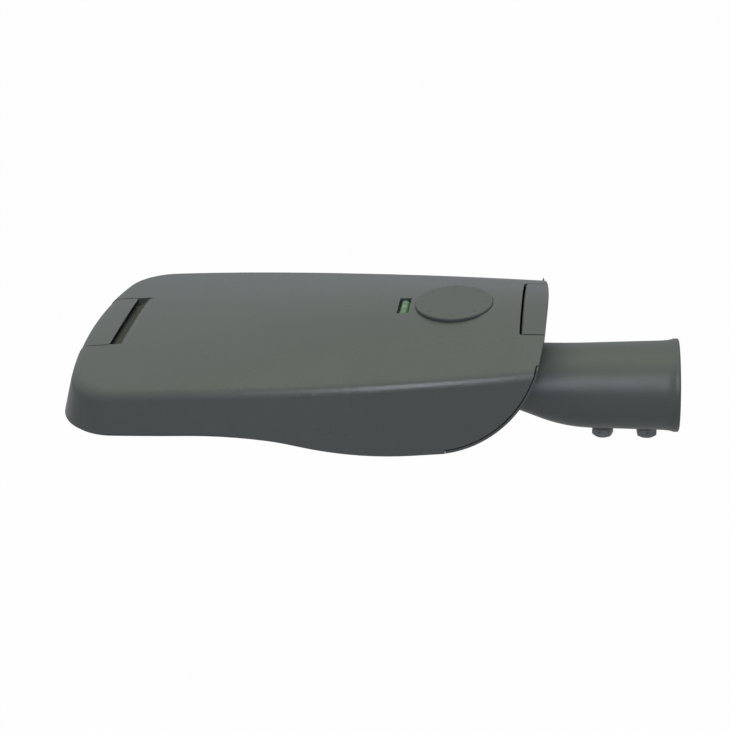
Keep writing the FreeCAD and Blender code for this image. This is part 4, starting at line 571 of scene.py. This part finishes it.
# %% Dress the frame
slot_of = {part["node"]: part["material_slot"] for part in frame["record"]["subparts"]}
for name, piece in nodes.items():
    piece.data.materials.clear()
    piece.data.materials.append(looks[slot_of[name]])
print("dressed:", len(slot_of))

# %% [markdown]
# ## Small round pieces
# The next pieces are rings and drops, and both are surfaces of two parameters. One runs along the shape,
# the other runs round it. The points are worked out as a whole array, and the faces follow from their
# order: each point is joined to the next one along and to the next one round.

# %% Faces of a grid


def grid_faces(along, around, ring):
    """Quads between rows of points, each row closed. A ring also joins its last row to its first.

    Where it isn't a ring, two more points follow the grid: the poles, each closed with a fan of triangles.
    """
    index = np.arange(along * around).reshape(along, around)
    beside = np.roll(index, -1, axis=1)
    if ring:
        quads = np.stack([index, np.roll(index, -1, axis=0), np.roll(beside, -1, axis=0), beside], axis=-1)
        return quads.reshape(-1, 4).tolist()
    quads = np.stack([index[:-1], index[1:], beside[1:], beside[:-1]], axis=-1).reshape(-1, 4)
    first = np.stack([np.full(around, along * around), index[0], beside[0]], axis=-1)
    last = np.stack([np.full(around, along * around + 1), beside[-1], index[-1]], axis=-1)
    return quads.tolist() + first.tolist() + last.tolist()


print("a ring of 40 by 8:", len(grid_faces(40, 8, True)), "faces")

# %% [markdown]
# A small piece is a mesh at the origin, with its place in its points, as the CAD's own pieces have it. It
# takes a finish and rides on the body that carries it.

# %% From points to a piece


def small_piece(name, points, faces, look, body):
    """A smooth mesh piece that takes a finish and moves with a body of the frame."""
    mesh = bpy.data.meshes.new(name)
    mesh.from_pydata(points.tolist(), [], faces)
    mesh.shade_smooth()
    mesh.materials.append(look)
    piece = bpy.data.objects.new(name, mesh)
    bpy.context.scene.collection.objects.link(piece)
    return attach(piece, body)


# %% [markdown]
# ## Bubble of the level, with a painted highlight
# The bubble rests against the top of the vial between two dark rings. It is an ellipsoid that breaks
# through the vial's skin by a tenth of a millimetre, so that it shows as a paler oval. Its pale green is
# partly the bubble and partly a painted highlight on the vial.

# %% Bubble
BUBBLE_HALVES = np.array((0.0021, 0.0040, 0.0008))
BUBBLE_PROUD = 0.0001
BUBBLE_ROWS = 7
BUBBLE_ROUND = 20


def drop(half_sizes, along, around):
    """Points of an ellipsoid round the origin, then its two poles on the Z axis.

    x = a sin(t) cos(u), y = b sin(t) sin(u), z = c cos(t), with t from pole to pole and u once round.
    """
    t = np.linspace(0, np.pi, along + 2)[1:-1, None]
    u = np.linspace(0, 2 * np.pi, around, endpoint=False)[None, :]
    grid = np.stack([np.sin(t) * np.cos(u), np.sin(t) * np.sin(u), np.cos(t) + 0 * u], axis=-1)
    return np.vstack([grid.reshape(-1, 3), (0, 0, 1), (0, 0, -1)]) * half_sizes


low, high = (np.array(corner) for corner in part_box("level_vial"))
vial_middle = (low + high) / 2
vial_radius = (high[2] - low[2]) / 2
bubble_lift = vial_radius - BUBBLE_HALVES[2] + BUBBLE_PROUD
bubble_points = drop(BUBBLE_HALVES, BUBBLE_ROWS, BUBBLE_ROUND) + vial_middle + (0, 0, bubble_lift)
bubble_faces = grid_faces(BUBBLE_ROWS, BUBBLE_ROUND, False)
small_piece("level_bubble_and_highlight", bubble_points, bubble_faces, bubble_and_highlight_look, "cover")
print("vial radius", round(vial_radius * 1000, 2), "mm")

# %% [markdown]
# ## Rings of the level
# Two rings mark where the bubble has to stand. Each is a torus round the vial, thinner than a pencil line
# and a little wider than thick.

# %% Rings
RING_PLACE = 0.0052
RING_THICK = 0.00012
RING_WIDER = 1.6
RING_ROWS = 40
RING_ROUND = 8


def ring_round_vial(y):
    """Torus round the vial's long axis: a flat circle carried once round on the vial's radius.

    x = r sin(u), z = r cos(u) with r = radius + thickness cos(v), and y = wider thickness sin(v).
    """
    u = np.linspace(0, 2 * np.pi, RING_ROWS, endpoint=False)[:, None]
    v = np.linspace(0, 2 * np.pi, RING_ROUND, endpoint=False)[None, :]
    reach = vial_radius + RING_THICK * np.cos(v)
    across = RING_WIDER * RING_THICK * np.sin(v) + 0 * u
    ring = np.stack([reach * np.sin(u), across, reach * np.cos(u)], axis=-1)
    return ring.reshape(-1, 3) + vial_middle + (0, y, 0)


ring_faces = grid_faces(RING_ROWS, RING_ROUND, True)
for side in (-1, 1):
    ring_points = ring_round_vial(side * RING_PLACE)
    name = f"level_ring_{side + 2}"
    small_piece(name, ring_points, ring_faces, looks["black_plastic"], "cover")
print("faces of a ring:", len(ring_faces))

# %% [markdown]
# ## Drops on the LEDs
# Each LED is a white ceramic tile with a flat drop of yellow silicone on it. The board hangs face down, so
# the drops stand on the lower face of the tiles, in the narrow gap above the lens plate. All of them share
# one mesh.

# %% Silicone drops
LED_TILE = 0.005
LED_COLUMNS = 4
LED_ROWS = 6
DROP_HALVES = (0.0020, 0.0020, 0.00022)
DROP_ROWS = 5
DROP_ROUND = 12

low, high = (np.array(corner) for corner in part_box("leds"))
columns = np.linspace(low[0] + LED_TILE / 2, high[0] - LED_TILE / 2, LED_COLUMNS)
rows = np.linspace(low[1] + LED_TILE / 2, high[1] - LED_TILE / 2, LED_ROWS)
places = np.stack(np.meshgrid(columns, rows), axis=-1).reshape(-1, 2)
one_drop = drop(DROP_HALVES, DROP_ROWS, DROP_ROUND)
one_drop_faces = grid_faces(DROP_ROWS, DROP_ROUND, False)
shift = np.concatenate([places, np.full((len(places), 1), low[2])], axis=1)
drop_points = (one_drop[None] + shift[:, None]).reshape(-1, 3)
drop_faces = [[k + n * len(one_drop) for k in face] for n in range(len(places)) for face in one_drop_faces]
small_piece("led_drops", drop_points, drop_faces, drop_look, "base")
print("drops:", len(places), "faces:", len(drop_faces))

# %% [markdown]
# ## Floor of the finger recess
# The photograph shows a scoop behind the flap, and its floor runs on below the flap's edge. The CAD's
# recess rolls down more and more and is open below, so a painted floor is laid into it. It leaves the
# cover's own roll as a tangent, goes down as a straight ramp, and turns on an arc to an almost level floor
# under the flap.

# %% Height of the cover
SLOPE_STEP = 0.001
CROWN_X = -0.457
CROWN_SIDE_Y = 0.044
FROM_ABOVE = 1.0


def cover_height(x, y):
    """Height of the cover's upper skin at a place: a ray cast straight down on it."""
    cover = nodes["top_cover"]
    to_cover = cover.matrix_world.inverted()
    start = to_cover @ Vector((x, y, FROM_ABOVE))
    spot = cover.ray_cast(start, to_cover.to_3x3() @ Vector((0, 0, -1)))[1]
    return (cover.matrix_world @ spot).z


crown_drop = cover_height(CROWN_X, 0) - cover_height(CROWN_X, CROWN_SIDE_Y)
bend = crown_drop / CROWN_SIDE_Y ** 2
print("crown falls", round(crown_drop * 1000, 2), "mm on", round(CROWN_SIDE_Y * 1000), "mm")

# %% [markdown]
# The profile runs from the cover's roll towards the nose. It starts a little under the roll, tucked in by
# a few hundredths of a millimetre, so that no seam shows.

# %% Profile of the recess floor
RAMP_START_X = -0.4655
RAMP_LENGTH = 0.0032
UNDER_ROLL = 0.0007
TUCK = 0.00003
LEVEL_RADIUS = 0.012
LEVEL_SLOPE = math.tan(math.radians(8))
RECESS_END_X = -0.4786
RECESS_ROWS = 30


def recess_profile(x):
    """Height over x: a ramp, then an arc of one radius, then a straight line at the level slope.

    The ramp is z = z0 - m (x0 - x) with the roll's slope m. The arc's sine falls evenly with x, from the
    ramp's angle to the level angle, so its drop is the radius times the difference of the cosines.
    """
    steep = (cover_height(RAMP_START_X, 0) - cover_height(RAMP_START_X - SLOPE_STEP, 0)) / SLOPE_STEP
    start_angle, end_angle = math.atan(steep), math.atan(LEVEL_SLOPE)
    gone = RAMP_START_X - x
    on_ramp = np.minimum(gone, RAMP_LENGTH)
    arc_length = LEVEL_RADIUS * (math.sin(start_angle) - math.sin(end_angle))
    on_arc = np.clip(gone - RAMP_LENGTH, 0, arc_length)
    beyond = np.maximum(gone - RAMP_LENGTH - arc_length, 0)
    sine = math.sin(start_angle) - on_arc / LEVEL_RADIUS
    arc_drop = LEVEL_RADIUS * (np.sqrt(1 - sine ** 2) - math.cos(start_angle))
    return cover_height(RAMP_START_X, 0) - TUCK - steep * on_ramp - arc_drop - LEVEL_SLOPE * beyond


along = np.linspace(RAMP_START_X + UNDER_ROLL, RECESS_END_X, RECESS_ROWS)
print("recess floor falls", round(float(np.ptp(recess_profile(along))) * 1000, 1), "mm")

# %% [markdown]
# The floor is that profile carried from side to side, and the crown's bend is taken off it as a parabola
# over y. A second sheet a millimetre below and a rim of quads make it a closed plate.

# %% Recess floor
RECESS_HALF = 0.046
RECESS_THICK = 0.001
RECESS_COLUMNS = 29
SHARP_EDGE = math.radians(40)


def plate_faces(rows, columns):
    """Quads of a plate: upper grid, lower grid turned over, and the rim between them."""
    top = np.arange(rows * columns).reshape(rows, columns)
    upper = np.stack([top[:-1, :-1], top[1:, :-1], top[1:, 1:], top[:-1, 1:]], axis=-1).reshape(-1, 4)
    lower = upper[:, ::-1] + rows * columns
    edge = np.concatenate([top[0, :-1], top[:-1, -1], top[-1, :0:-1], top[:0:-1, 0]])
    after = np.roll(edge, -1)
    rim = np.stack([edge, after, after + rows * columns, edge + rows * columns], axis=-1)
    return upper.tolist() + lower.tolist() + rim.tolist()


x = along[:, None] + np.zeros((1, RECESS_COLUMNS))
y = RECESS_HALF * np.linspace(-1, 1, RECESS_COLUMNS)[None, :] + 0 * x
upper = np.stack([x, y, recess_profile(x) - bend * y ** 2], axis=-1).reshape(-1, 3)
floor_points = np.concatenate([upper, upper - (0, 0, RECESS_THICK)])
recess_faces = plate_faces(RECESS_ROWS, RECESS_COLUMNS)
paint = looks["cover_paint"]
recess = small_piece("recess_floor", floor_points, recess_faces, paint, "cover")
recess.data.set_sharp_from_angle(angle=SHARP_EDGE)
recess_depth = cover_height(CROWN_X, 0) - upper[:, 2].min()
print("recess floor ends", round(recess_depth * 1000, 1), "mm below the crown")
